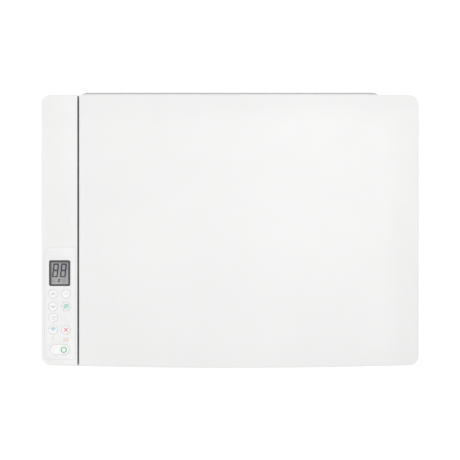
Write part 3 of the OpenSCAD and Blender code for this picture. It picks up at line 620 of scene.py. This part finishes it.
# ------------------------------------------------------------------ control strip
COL_L, COL_R = -199.0, -184.5
ROWS = [-72.1, -86.2, -98.8, -112.4]
DISP, POWER = (-191.5, -48.7), (-191.6, -134.75)
BUTTONS = {"button_up": (COL_L, ROWS[0]), "button_menu": (COL_R, ROWS[0]), "button_down": (COL_L, ROWS[1]),
           "button_color_copy": (COL_R, ROWS[1]), "button_mono_copy": (COL_L, ROWS[2]),
           "button_wireless": (COL_L, ROWS[3]), "button_cancel": (COL_R, ROWS[3])}
OVL = dict(x0=-208.6, x1=-173.6, y0=-146.0, y1=-19.7)


def strip_outline(o, nc=14, nf=24):
    return [(p[0], p[1]) for p in plan2(-HW + 0.4 + o, STRIP_X - o * 0.14, o, 152 - o, R_STRIP - o, 1, 1, 9.5 - o, 0, nc, nf)]


def control_holes(grow=0.0, bore=None):
    hs = [rrect(DISP[0] - 11.93 - grow, DISP[0] + 12.05 + grow, DISP[1] - 14.52 - grow, DISP[1] + 14.5 + grow, 2 + grow)]
    for x, y in BUTTONS.values():
        hs.append(circle(x, y, 5.2 + grow, 56))
    hs.append(rrect(POWER[0] - 11.05 - grow, POWER[0] + 11.05 + grow, POWER[1] - 6.05 - grow, POWER[1] + 6.05 + grow, 6.04 + grow, 16))
    return hs


def build_strip():
    # shell: outer wall with a soft top edge, inner wall, open below
    re = 1.6
    zt = 150.0
    rings, fm = [], []

    def put(o, z, m=0):
        rings.append([(x, y, z) for x, y in strip_outline(o)])
        fm.append(m)
    put(2.5, 137.0)
    put(0.4, 137.0)
    put(0.1, 137.1)
    put(0.0, 137.4)
    put(0.0, zt - 0.5 - re)
    for i in range(1, 8):
        a = math.pi / 2 * i / 7
        put(re * (1 - math.cos(a)), zt - 0.5 - re + re * math.sin(a))
    put(2.3, zt - 0.47)
    put(2.5, zt - 0.6)
    put(2.5, zt - 2.2)
    n = len(rings[0])
    rings.append([(x, y, 137.0) for x, y in strip_outline(2.5)])
    # level right-hand edge along the groove, rounded left-hand edge
    shaped = []
    for r in rings:
        q = []
        for x, y, z in r:
            if z > 147:
                z += 0.47 * smooth01((x + 206) / 22)
            q.append((x, y, min(z, 150.0)))
        shaped.append(q)
    wall = loft("strip_wall", shaped, [M["white_shell"], M["groove_shade_dark"]], caps=(False, False))
    bm = bmesh.new()
    bm.from_mesh(wall.data)
    bmesh.ops.remove_doubles(bm, verts=bm.verts, dist=1e-7)
    # the wall that faces the lid takes a dark grey below its rim: painted shade in the groove
    for f in bm.faces:
        c = f.calc_center_median()
        if f.normal.x > 0.9 and c.x > (STRIP_X - 0.2) * MM and c.z < 149.2 * MM:
            f.material_index = 1
    bm.to_mesh(wall.data)
    bm.free()
    tidy(wall)
    # top plate: rear part is level, fascia recess 0.4 deep in front
    out_top = strip_outline(2.2)
    recess = rrect(OVL["x0"], OVL["x1"], OVL["y0"], OVL["y1"], 1, 10, (5, 0.4, 0.4, 5))
    top = curve_mesh("strip_top", [out_top, recess], 147.8, 150.0, 0.12, 2, [M["white_shell"]])
    floor_o = rrect(OVL["x0"] - 0.8, OVL["x1"] + 0.8, OVL["y0"] - 0.8, OVL["y1"] + 0.8, 1, 10, (5.8, 0.8, 0.8, 5.8))
    floor = curve_mesh("strip_floor", [floor_o] + control_holes(), 147.8, 149.58, 0.0, 2, [M["white_shell"]])
    for o in (top, floor):
        for v in o.data.vertices:
            if v.co.z > 0.1490:
                k = 0.47 * MM * (1 - smooth01((v.co.x / MM + 206) / 22))
                v.co.z -= k
    parts = [wall, top, floor]
    for y in (-142.6, -105.6, -26.0):
        for x in (-205.0, -177.5):
            c = [(x + 2 * math.cos(t * math.pi / 12), y + 2 * math.sin(t * math.pi / 12)) for t in range(24)]
            parts.append(loft("tower", [[(px, py, 140.0) for px, py in c], [(px, py, 148.0) for px, py in c]], [M["white_shell"]]))
    # frame round the glass, with a softened window edge
    fr = [(p[0], p[1]) for p in plan2(STRIP_X - 0.8, HW, 0, 141.0, 0.4, 9.5, 0.4, 0.4, 0, 14, 64)]
    notch = []
    for h in (150, -110):
        notch += [(h + 10.4, 141.0), (h + 10.4, 134.6), (h - 10.4, 134.6), (h - 10.4, 141.0)]
    at = 15 + 63 + 15 + 15
    fr = fr[:at] + notch + fr[at:]
    frame_top = curve_mesh("frame", [fr, rrect(-140, 160, -125, 93, 0.6, 4)], 138.4, 139.2, 0.18, 2, [M["white_shell"]])
    frame_low = curve_mesh("frame_low", [fr, rrect(-144, 164, -129, 97, 0.6, 4)],
                           137.0, 138.5, 0.0, 2, [M["white_shell"]])
    parts += [frame_top, frame_low]
    # step behind the lid
    for x0, x1 in ((-172, -120.4), (-99.6, 139.6), (160.4, 210)):
        parts.append(rounded_block("riser", x0, x1, 139, 141, 132.4, 139.0, 0.3, 0.2, [M["white_shell"]], 3, 2))
    led = [(-172, 139.5), (-120.4, 139.5), (-120.4, 141.9), (-99.6, 141.9), (-99.6, 139.5), (139.6, 139.5), (139.6, 141.9),
           (160.4, 141.9), (160.4, 139.5), (209.9, 139.5), (209.9, 141.05), (212.5, 141.05)] + arc(203, 142.5, 9.5, 0, 90, 12) + [(-172, 152)]
    parts.append(curve_mesh("ledge", [led], 132.4, 134.4, 0.25, 2, [M["white_shell"]]))
    # dark grey strip along the bottom of the groove: painted shade
    gr = [(-172.0, bow(-172) + 2.2), (-169.4, bow(-169.4) + 2.2), (-169.4, 130), (-169.85, 130), (-169.85, 150.6), (-172.0, 150.6)]
    parts.append(curve_mesh("groove_floor", [gr], 139.0, 139.45, 0.05, 1, [M["groove_shade_dark"]]))
    o = join("scanner_bezel_look", parts)
    return ride(o, "body", ["scanner_bezel"])


build_strip()


def lower(z, x):
    """the strip falls gently towards its outer side"""
    return z - 0.47 * (1 - smooth01((x + 206) / 22))


def build_overlay():
    out = rrect(OVL["x0"] + 0.1, OVL["x1"] - 0.1, OVL["y0"] + 0.1, OVL["y1"] - 0.1, 1, 12, (4.9, 0.4, 0.4, 4.9))
    o = curve_mesh("control_overlay_look", [out] + control_holes(), 149.6, 150.0, 0.12, 2, [M["panel_film"]])
    for v in o.data.vertices:
        v.co.z = (lower(v.co.z / MM, v.co.x / MM)) * MM
    return ride(o, "body", ["control_overlay"])


build_overlay()


# ------------------------------------------------------------------ display
def inlay(name, loops, z0, z1, mat, bev=0.0):
    return curve_mesh(name, loops, z0, z1, bev, 1, [M[mat]])


def slanted(pts, cx, cy, deg=6):
    k = math.tan(math.radians(deg))
    return [(x + (y - cy) * k, y) for x, y in pts]


def digit(cx, cy, w, h, t, z, mat="segment"):
    """seven separate bars of one digit, leaning to the right"""
    g = 0.12
    x0, x1, y0, y1 = cx - w / 2, cx + w / 2, cy - h / 2, cy + h / 2
    ym = cy

    def hbar(y, f=1.0):
        e = t * f / 2
        return [(x0 + g, y), (x0 + g + t / 2, y - e), (x1 - g - t / 2, y - e), (x1 - g, y), (x1 - g - t / 2, y + e), (x0 + g + t / 2, y + e)]

    def vbar(x, ya, yb, f=1.0):
        e = t * f / 2
        return [(x, ya + g), (x + e, ya + g + t / 2), (x + e, yb - g - t / 2), (x, yb - g), (x - e, yb - g - t / 2), (x - e, ya + g + t / 2)]
    q = t / 2
    bars = [hbar(y0 + q, 0.72), hbar(ym), hbar(y1 - q)]
    bars += [vbar(x0 + q, y0 + q, ym, 0.88), vbar(x1 - q, y0 + q, ym, 0.88), vbar(x0 + q, ym, y1 - q), vbar(x1 - q, ym, y1 - q)]
    return [slanted(b, cx, cy) for b in bars]


def build_display():
    x, y = DISP
    hx, hy = 11.76, 14.435
    ix, iy = 9.4, 12.22
    zt, zf = 149.46, 149.05
    rings, fm = [], []

    def put(o, z, m=0, inner=False, rr_=None):
        a, b, r = (ix, iy, 0.8) if inner else (hx, hy, 1.85)
        c, d = (x + 0.3, y - 0.17) if inner else (x + 0.14, y - 0.185)
        rings.append([(px, py, z) for px, py in rrect(c - a - o, c + a + o, d - b - o, d + b + o, rr_ or max(r + o, 0.1), 10)])
        fm.append(m)
    put(0, 144)
    put(0, zt - 0.5)
    put(-0.07, zt - 0.24)
    put(-0.24, zt - 0.07)
    put(-0.5, zt)
    put(0.35, zt, 0, True, 1.1)
    put(0.12, zt - 0.08, 0, True, 0.95)
    put(0, zf, 1, True)
    frame_o = loft("display_frame", rings, [M["lcd_frame"], M["lcd_face"]], fm[:-1] + [1])
    fl = frame_o.data
    for p in fl.polygons:
        if len(p.vertices) > 8 and p.normal.z > 0.9:
            p.material_index = 1
        elif len(p.vertices) > 8:
            p.material_index = 0
    parts = [frame_o]
    parts.append(rounded_block("display_foot", x - 9, x + 9, y - 14, y + 14, 142.6, 144.1, 0.6, 0.15, [M["lcd_frame"]], 3, 2))
    z1 = zf + 0.10
    for cx in (-196.1, -187.3):
        for b in digit(cx, -45.62, 6.9, 15.9, 1.88, z1):
            parts.append(inlay("seg", [b], zf - 0.02, z1, "segment"))
    # small status marks under the digits
    parts.append(inlay("m1", [rrect(-199.3, -196.7, -58.7, -56.0, 0.3, 4), rrect(-198.7, -197.3, -58.1, -56.6, 0.2, 3)], zf - 0.02, z1, "segment_faint"))
    parts.append(inlay("m2", [[(-193.2, -55.3), (-190.6, -55.3), (-190.6, -56.1), (-192.6, -57.9), (-191.2, -57.9), (-191.2, -58.6), (-193.9, -58.6), (-193.9, -57.9), (-191.9, -56.1), (-193.2, -56.1)]], zf - 0.02, z1, "segment"))
    parts.append(inlay("m3", [rrect(-188.9, -187.0, -58.8, -55.6, 0.4, 4), rrect(-188.4, -187.5, -58.2, -56.2, 0.2, 3)], zf - 0.02, z1, "segment_faint"))
    parts.append(inlay("m4", [rrect(-186.4, -184.6, -58.8, -55.6, 0.4, 4), rrect(-185.9, -185.1, -58.2, -56.2, 0.2, 3)], zf - 0.02, z1, "segment_faint"))
    o = join("display_look", parts)
    return ride(o, "body", ["display_module"])


build_display()


# ------------------------------------------------------------------ buttons
def cap_mesh(name, cx, cy):
    n = 64
    prof = [(2.0, 145.9), (2.0, 146.0), (5.8, 146.0), (5.9, 146.1), (5.9, 147.1), (5.8, 147.2), (5.1, 147.2), (5.1, 149.15), (5.06, 149.25), (4.86, 149.27), (4.8, 149.33)]
    top = 149.78
    for i in range(1, 6):
        a = math.pi / 2 * i / 5
        prof.append((4.8 - 0.42 * (1 - math.cos(a)), top - 0.42 + 0.42 * math.sin(a)))
    for r in (3.9, 3.0, 2.0, 1.0):
        prof.append((r, top - 0.10 * (1 - (r / 4.45) ** 2)))
    rings = [[(x, y, z) for x, y in circle(cx, cy, r, n)] for r, z in prof]
    return loft(name, rings, [M["button_white"]]), top - 0.10


def build_buttons():
    made = {}
    for b, (cx, cy) in BUTTONS.items():
        cap, zt = cap_mesh(b + "_cap", cx, cy)
        z0, z1 = zt - 0.05, zt + 0.085
        g = [cap]
        if b == "button_up":
            g.append(inlay("i", [[(cx - 2.8, cy - 0.7), (cx - 2.4, cy - 1.3), (cx + 0.35, cy + 0.25), (cx + 2.3, cy - 1.3), (cx + 2.8, cy - 0.7), (cx + 0.4, cy + 1.35)]], z0, z1, "ink_grey"))
        elif b == "button_down":
            g.append(inlay("i", [[(cx - 2.3, cy + 0.4), (cx - 1.8, cy + 0.95), (cx + 0.1, cy - 0.5), (cx + 2.0, cy + 0.95), (cx + 2.6, cy + 0.4), (cx + 0.15, cy - 1.65)]], z0, z1, "ink_grey"))
        elif b == "button_menu":
            for k in (-1.9, -0.55):
                g.append(inlay("i", [circle(cx + k, cy, 0.42, 18)], z0, z1, "ink_grey"))
            g.append(inlay("i", [rrect(cx + 0.45, cx + 2.3, cy - 0.3, cy + 0.3, 0.28, 4)], z0, z1, "ink_grey"))
        elif b == "button_color_copy":
            g.append(inlay("i", [rrect(cx - 2.75, cx + 1.1, cy - 2.6, cy + 2.15, 0.35, 4)], z0, z1, "ink_teal"))
            g.append(inlay("i", [rrect(cx + 1.3, cx + 3.0, cy - 1.7, cy + 0.9, 0.3, 4)], z0, z1, "ink_teal"))
            g.append(inlay("i", [rrect(cx + 1.3, cx + 2.9, cy + 1.1, cy + 2.8, 0.3, 4)], z0, z1, "ink_tealdark"))
            g.append(inlay("i", [rrect(cx - 1.3, cx + 1.1, cy + 2.3, cy + 3.0, 0.25, 4)], z0, z1, "ink_tealdark"))
        elif b == "button_mono_copy":
            g.append(inlay("i", [rrect(cx - 1.3, cx + 1.3, cy - 2.0, cy + 1.4, 0.3, 4), rrect(cx - 0.9, cx + 0.9, cy - 1.6, cy + 1.0, 0.2, 3)], z0, z1, "ink_soft"))
            g.append(inlay("i", [rrect(cx + 1.65, cx + 2.6, cy - 0.6, cy + 1.7, 0.25, 4)], z0, z1, "ink_soft"))
            g.append(inlay("i", [rrect(cx - 0.7, cx + 1.9, cy - 2.75, cy - 2.2, 0.2, 4)], z0, z1, "ink_soft"))
        elif b == "button_wireless":
            for r, w, m in ((1.75, 0.75, "ink_blue"), (2.8, 0.85, "ink_blue"), (3.85, 0.85, "ink_blue")):
                oc = arc(cx + 0.3, cy - 1.3, r + w / 2, 44, 136, 16)
                ic = arc(cx + 0.3, cy - 1.3, r - w / 2, 136, 44, 16)
                g.append(inlay("i", [oc + ic], z0, z1, m))
            g.append(inlay("i", [circle(cx + 0.3, cy - 0.95, 0.72, 18)], z0, z1, "ink_blue"))
        elif b == "button_cancel":
            k, w = 2.4, 0.74
            pts = []
            for a in (0, 90, 180, 270):
                ca, sa = math.cos(math.radians(a)), math.sin(math.radians(a))
                for px, py in ((w * 0.7071 * 1.0, 0), (k, k - w * 0.7071), (k - w * 0.7071, k)):
                    q = (px * ca - py * sa, px * sa + py * ca)
                    pts.append((cx + q[0], cy + q[1]))
            g.append(inlay("i", [pts], z0, z1, "ink_red"))
        o = join(b + "_look", g)
        ride(o, b, [b])
        made[b] = o
    # pill-shaped power key
    px, py = POWER
    rings = []

    def put(o, z, wide=False):
        a, c, r = (12.0, 7.0, 6.9) if wide else (10.75, 5.75, 5.74)
        rings.append([(x, y, z) for x, y in rrect(px - a - o, px + a + o, py - c - o, py + c + o, max(r + o, 0.2), 20)])
    put(-0.1, 146.0, True)
    put(0, 146.1, True)
    put(0, 147.1, True)
    put(-0.1, 147.2, True)
    put(0.2, 147.2)
    put(0.2, 149.25)
    put(0.16, 149.35)
    put(-0.06, 149.37)
    put(-0.12, 149.43)
    for i in range(1, 6):
        a = math.pi / 2 * i / 5
        put(-0.12 - 0.5 * (1 - math.cos(a)), 149.38 + 0.5 * math.sin(a))
    put(-2.0, 149.86)
    put(-4.0, 149.84)
    key = loft("power_cap", rings, [M["button_white"]])
    foot = loft("power_foot", [[(x, y, z) for x, y in circle(px, py, 2, 24)] for z in (145.9, 146.2)], [M["button_white"]])
    rx, ry, z0, z1 = -186.8, -134.9, 149.78, 149.93
    ring = arc(rx, ry, 3.55, 106, 434, 48) + arc(rx, ry, 2.3, 434, 106, 48)
    bar = rrect(rx - 0.38, rx + 0.38, ry + 1.7, ry + 3.7, 0.36, 5)
    o = join("power_button_look", [key, foot, inlay("i", [ring], z0, z1, "ink_green"), inlay("i", [bar], z0, z1, "ink_green")])
    ride(o, "power_button", ["power_button"])
    # printed marks beside the keys
    zf = 150.0
    ex, ey = -199.1, -122.6
    s = [inlay("i", [[(ex - 0.45, ey - 0.5), (ex + 0.45, ey - 0.5), (ex + 0.75, ey + 2.1), (ex - 0.75, ey + 2.1)]], 149.7, 149.9, "ink_orange"),
         inlay("i", [circle(ex, ey - 1.5, 0.7, 16)], 149.7, 149.9, "ink_orange")]
    cx, cy = -184.3, -123.4
    s.append(inlay("i", [rrect(cx - 3.0, cx + 3.0, cy - 2.1, cy + 2.1, 0.5, 4), rrect(cx - 2.0, cx - 0.9, cy - 0.5, cy + 1.1, 0.25, 3), rrect(cx - 0.3, cx + 0.8, cy - 0.5, cy + 1.1, 0.25, 3)], 149.9, 150.03, "ink_orange"))
    marks = join("fascia_marks", s)
    for v in marks.data.vertices:
        x = v.co.x / MM
        base = lower(150.0, x)
        top = v.co.z > 0.14985 if x < -195 else v.co.z > 0.14995
        v.co.z = (base + (0.045 if top else -0.12)) * MM
    ride(marks, "body")


build_buttons()


# ------------------------------------------------------------------ rear cover (closed feeder)
def build_rear_cover():
    def yz_plate(name, loops, y0, y1, bev, mats):
        """plate drawn in X and Z, y0..y1 thick"""
        o = curve_mesh(name, loops, -(y1 - y0) / 2, (y1 - y0) / 2, bev, 3, mats)
        for v in o.data.vertices:
            x, y, z = v.co
            v.co = (x, (y0 + y1) / 2 * MM - z, y)
        o.data.flip_normals()
        tidy(o, True, 40)
        return o

    # inner board with sloped ends and a soft top edge
    def ring(z, d=0.0):
        y0, y1 = 152.4 + d * 0.4, 153.75 - d * 0.4
        end = [(167.2, 152.6), (166.1, 153.0), (164.5, 153.5), (162.0, 153.75)]
        pts = [(-167.2 + d, y0), (-150, y0), (-60, y0), (0, y0), (60, y0), (150, y0), (167.2 - d, y0)]
        pts += [(a - d, max(b - d * 0.4, y0 + 0.05)) for a, b in end]
        pts += [(150, y1), (60, y1), (0, y1), (-60, y1), (-150, y1)]
        pts += [(-a + d, max(b - d * 0.4, y0 + 0.05)) for a, b in reversed(end)]
        return [(x, y, z) for x, y in pts]
    parts = [loft("rear_board", [ring(49.0, 0.4), ring(49.4), ring(130.5), ring(130.9, 0.3), ring(131.0, 0.6)], [M["white_shell"]], sharp=40)]
    # outer skin with a finger recess and moulded ribs
    skin = rrect(-163.0, 163.0, 49.0, 125.8, 2.0, 8)
    hole = rrect(-45, 45, 106, 120, 4.0, 10)
    parts.append(yz_plate("rear_skin", [skin, hole], 153.7, 155.35, 0.35, [M["white_shell"]]))
    for i in range(9):
        x = -128 + i * 32
        if abs(x) < 60:
            parts.append(yz_plate("rib", [rrect(x - 0.8, x + 0.8, 54, 98, 0.75, 5)], 154.9, 155.4, 0.2, [M["white_shell"]]))
        else:
            parts.append(yz_plate("rib", [rrect(x - 0.8, x + 0.8, 54, 120, 0.75, 5)], 154.9, 155.4, 0.2, [M["white_shell"]]))
    # softened ends of the cover
    END = [(167.3, 152.75), (167.2, 153.15), (166.7, 153.65), (165.7, 154.25), (164.4, 154.85), (163.0, 155.22)]
    for s in (-1, 1):
        def cap(z, d):
            pts = [(162.3, 152.6), (167.3 - d, 152.6)] + [(a - d, b - d * 0.6) for a, b in END] + [(162.3, 155.33 - d * 0.6)]
            return [(s * x, y, z) for x, y in (pts if s > 0 else pts[::-1])]
        parts.append(loft("cover_end", [cap(49.0, 0.3), cap(49.35, 0.05), cap(49.7, 0), cap(125.2, 0), cap(125.6, 0.06), cap(125.9, 0.3)],
                          [M["white_shell"]], sharp=40))

    # grey strip along the top edge: painted shade for the darker rounded rim
    def top(z, d):
        e = d * 0.6
        right = [(a - e, b - d * k) for (a, b), k in zip(END, (0.3, 0.5, 0.7, 0.85, 0.95, 1.0))]
        pts = [(-167.3 + e, 152.6), (167.3 - e, 152.6)] + right
        pts += [(161 - 322 * i / 20, 155.4 - d) for i in range(21)]
        pts += [(-a, b) for a, b in reversed(right)]
        return [(x, y, z) for x, y in pts]
    rings = [top(126.1, 0.25), top(126.3, 0.05), top(126.5, 0.0), top(128.6, 0.0)]
    for i in range(1, 7):
        a = math.pi / 2 * i / 6
        rings.append(top(128.6 + 1.2 * math.sin(a), 1.1 * (1 - math.cos(a))))
    parts.append(loft("edge_strip", rings, [M["rim_shade_grey"]], sharp=40))
    for x in (-63, 63):
        prof = [(x - 1.4, 152.6), (x + 1.4, 152.6), (x + 2.5, 150.7), (x - 2.5, 150.7)]
        parts.append(loft("dovetail", [[(a, b, 49.0) for a, b in prof], [(a, b, 58.0) for a, b in prof]], [M["white_shell"]]))
    o = join("rear_tray_extension_look", parts)
    return ride(o, "rear_tray_extension", ["rear_tray_extension"])


build_rear_cover()


# ------------------------------------------------------------------ remaining CAD nodes
SLOTS = {}
for m in frame["record"].get("materials", []):
    for n in m.get("nodes", []) or []:
        SLOTS[n] = m.get("slot")


def dress(node, mats, bev=0.25, sharp=28, pick=None, name=None, seg=2):
    """finished copy of a CAD node: welded, coplanar faces joined, edges rounded, shaded by angle"""
    src = NODES[node]
    bm = bmesh.new()
    bm.from_mesh(src.data)
    bmesh.ops.remove_doubles(bm, verts=bm.verts, dist=2e-6)
    bmesh.ops.dissolve_degenerate(bm, dist=1e-7, edges=bm.edges)
    bmesh.ops.dissolve_limit(bm, angle_limit=math.radians(0.6), use_dissolve_boundaries=False, verts=bm.verts, edges=bm.edges)
    good = bm.copy()
    bad0 = sum(1 for e in bm.edges if len(e.link_faces) != 2)
    if bev > 0:
        es = [e for e in bm.edges if len(e.link_faces) == 2 and e.calc_face_angle(0) > math.radians(35)]
        if es:
            bmesh.ops.bevel(bm, geom=es, offset=bev * MM, offset_type="OFFSET", segments=seg, profile=0.5, affect="EDGES", clamp_overlap=True, harden_normals=False)
        bmesh.ops.remove_doubles(bm, verts=bm.verts, dist=1e-6)
        bad1 = sum(1 for e in bm.edges if len(e.link_faces) != 2)
        lo = [min(v.co[i] for v in bm.verts) for i in range(3)]
        hi = [max(v.co[i] for v in bm.verts) for i in range(3)]
        a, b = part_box(node)
        out = any(lo[i] < a[i] - 2e-5 or hi[i] > b[i] + 2e-5 for i in range(3))
        if bad1 > bad0 or out:
            print("bevel undone", node, bad0, bad1, out)
            bm.free()
            bm = good
            good = None
    if good:
        good.free()
    me = bpy.data.meshes.new(name or node + "_look")
    for m in mats:
        me.materials.append(m)
    bm.to_mesh(me)
    bm.free()
    o = bpy.data.objects.new(name or node + "_look", me)
    COL.objects.link(o)
    tidy(o, True, sharp)
    if pick:
        for p in me.polygons:
            p.material_index = pick(p.center / MM, p.normal)
    ride(o, BODY_OF.get(node, "body"), [node])
    return o


SLOTS = {m["node"]: m["material_slot"] for m in frame["record"].get("subparts", [])}
DONE = {"lid_shell", "scanner_bezel", "control_overlay", "display_module", "power_button", "rear_tray_extension"} | set(BUTTONS)


def board_part(c, n):
    """which material a face of the main board takes: 0 board, 1 chips and lugs, 2 socket, 3 connectors, 4 capacitors"""
    if c.x < -194.05:
        return 1
    if c.y > 131.9 and 31.5 < c.z < 43.5 and c.x > -192.45:
        inside = -189.3 < c.x < -183.5 and 133.3 < c.y < 142.7 and 35.8 < c.z < 39.2
        return 3 if inside else 2
    if c.x <= -192.3:
        return 0
    if c.z > 83 and c.y < 57:
        return 3
    if c.y > 108 and c.z < 24:
        return 4
    return 1


def dress_all():
    def two(a, b, test):
        return [M[a], M[b]], (lambda c, n: 1 if test(c, n) else 0)
    feed, out, pick = (52, 48), (-34, 48), (52 + 74 * math.cos(math.radians(17)), 48 + 74 * math.sin(math.radians(17)))
    special = {
        "feed_roller": ([M["steel"], M["rubber"], M["gear_white"]],
                        lambda c, n: 2 if c.x < -179.9 and math.hypot(c.y - feed[0], c.z - feed[1]) > 3.3 else (1 if math.hypot(c.y - feed[0], c.z - feed[1]) > 3.4 and c.x > -160 else 0)),
        "output_roller": ([M["steel"], M["rubber"], M["gear_white"]],
                          lambda c, n: 2 if c.x < -179.9 and math.hypot(c.y - out[0], c.z - out[1]) > 3.3 else (1 if math.hypot(c.y - out[0], c.z - out[1]) > 3.4 and c.x > -160 else 0)),
        "pickup_roller": ([M["steel"], M["rubber"], M["gear_white"]],
                          lambda c, n: 2 if c.x < -179.9 and math.hypot(c.y - pick[0], c.z - pick[1]) > 3.3 else (1 if math.hypot(c.y - pick[0], c.z - pick[1]) > 3.4 and c.x > -160 else 0)),
        "cartridge_black": ([M["ink_black"], M["label_grey"]], lambda c, n: 1 if n.z > 0.9 and c.z > 85 else 0),
        "cartridge_color": ([M["ink_color"], M["label_blue"]], lambda c, n: 1 if n.z > 0.9 and c.z > 85 else 0),
        "scan_head": ([M["dark_frame"], M["steel"]], lambda c, n: 1 if 132.2 < c.z < 133.9 and 171 < c.x < 181 and n.z > 0.5 else 0),
        "panel_board": ([M["circuit"], M["steel"]], lambda c, n: 1 if c.z > 142.7 else 0),
        "main_board": ([M["circuit"], M["dark_frame"], M["steel"], M["gear_white"], M["motor_can"]], board_part),
        "power_inlet": ([M["dark_frame"], M["steel"]],
                        lambda c, n: 1 if 135.95 < c.y and min(math.hypot(c.x - 160.7, c.z - 39), math.hypot(c.x - 169.3, c.z - 39)) < 1.35 else 0),
    }
    for n in NODES:
        if n in DONE:
            continue
        slot = SLOTS.get(n, "white_shell")
        if n in special and special[n][1] is not None:
            mats, pick_ = special[n]
        else:
            mats, pick_ = [M[{"display_window": "lcd_frame"}.get(slot, slot)]], None
        gearish = n in ("transfer_gear", "pickup_gear", "feed_pinion", "scan_pinion", "guide_pinion", "feed_roller", "output_roller", "pickup_roller", "star_wheels")
        small = n in ("carriage_belt", "encoder_strip", "screws", "carriage_pulley", "belt_idler", "pinch_rollers", "scan_rod", "carriage_rod")
        bev = 0.0 if gearish else (0.1 if small else 0.3)
        dress(n, mats, bev, 28, pick_)


dress_all()


# ------------------------------------------------------------------ studio
def world():
    w = bpy.data.worlds.new("studio")
    SC.world = w
    w.use_nodes = True
    nt = w.node_tree
    bg = nt.nodes["Background"]
    # bright ceiling, quieter walls: edges that turn away from the top go soft grey
    tc = nt.nodes.new("ShaderNodeTexCoord")
    sp = nt.nodes.new("ShaderNodeSeparateXYZ")
    nt.links.new(tc.outputs["Generated"], sp.inputs[0])
    ramp = nt.nodes.new("ShaderNodeValToRGB")
    ramp.color_ramp.interpolation = "EASE"
    e = ramp.color_ramp.elements
    e[0].position, e[0].color = 0.0, (0.38, 0.38, 0.38, 1)
    e[1].position, e[1].color = 0.62, (1, 1, 1, 1)
    nt.links.new(sp.outputs["Z"], ramp.inputs[0])
    nt.links.new(ramp.outputs[0], bg.inputs[0])
    bg.inputs[1].default_value = 0.703


def area(name, loc, target, sx, sy, power):
    l = bpy.data.lights.new(name, "AREA")
    l.shape = "RECTANGLE"
    l.size, l.size_y, l.energy = sx, sy, power
    o = bpy.data.objects.new(name, l)
    COL.objects.link(o)
    o.location = loc
    d = Vector(target) - Vector(loc)
    o.rotation_mode = "QUATERNION"
    o.rotation_quaternion = d.to_track_quat("-Z", "Y")
    return o


def floor():
    me = bpy.data.meshes.new("floor")
    prof = [(0.0, 0.0), (1.0, 0.0), (3.0, 0.0), (6.0, 0.0)] + [(6.0 + 1.2 * math.sin(t * math.pi / 16), 1.2 - 1.2 * math.cos(t * math.pi / 16)) for t in range(1, 9)]
    prof += [(7.2, 1.5)]
    n = 64
    verts = [(0, 0, 0)]
    faces = []
    for r, z in prof[1:]:
        verts += [(r * math.cos(2 * math.pi * i / n), r * math.sin(2 * math.pi * i / n), z) for i in range(n)]
    for i in range(n):
        faces.append((0, 1 + i, 1 + (i + 1) % n))
    for k in range(len(prof) - 2):
        for i in range(n):
            j = (i + 1) % n
            faces.append((1 + k * n + i, 1 + (k + 1) * n + i, 1 + (k + 1) * n + j, 1 + k * n + j))
    me.from_pydata([(a, b, h - 0.00005) for a, b, h in verts], [], faces)
    m, nt, bs, tc = new_mat("floor_paper")
    nt.links.new(tint(nt, noise(nt, tc, 5, 2), (0.29, 0.29, 0.29), (0.31, 0.31, 0.31)), bs.inputs["Base Color"])
    bs.inputs["Roughness"].default_value = 0.9
    bs.inputs["Specular IOR Level"].default_value = 0.1
    bs.inputs["Emission Color"].default_value = (1, 1, 1, 1)
    bs.inputs["Emission Strength"].default_value = 0.85
    me.materials.append(m)
    for p in me.polygons:
        p.use_smooth = True
    o = bpy.data.objects.new("floor", me)
    COL.objects.link(o)


def camera():
    c = bpy.data.cameras.new("cam")
    c.sensor_width = 36
    c.sensor_fit = "HORIZONTAL"
    h = 3.0
    c.lens = 36 * h / 0.51828 * 1.002
    c.clip_start, c.clip_end = 0.1, 20
    o = bpy.data.objects.new("cam", c)
    COL.objects.link(o)
    o.location = (0.0001, -0.00017, 0.150 + h)
    o.rotation_euler = (0, 0, 0)
    SC.camera = o


world()
area("key", (0.08, 0.20, 2.0), (0.08, 0.08, 0.15), 1.1, 0.9, 9.6)
sp = bpy.data.lights.new("pool", "SPOT")
sp.energy, sp.spot_size, sp.spot_blend, sp.shadow_soft_size = 8.5, math.radians(15), 1.0, 0.12
so = bpy.data.objects.new("pool", sp)
COL.objects.link(so)
so.location = (0.75, 0.60, 1.9)
so.rotation_mode = "QUATERNION"
so.rotation_quaternion = (Vector((0.135, 0.085, 0.15)) - so.location).to_track_quat("-Z", "Y")
area("fill", (-1.2, -0.1, 2.2), (0, 0, 0.1), 1.6, 1.6, 3)
floor()
camera()
SC.view_settings.view_transform = "Standard"
SC.view_settings.look = "None"
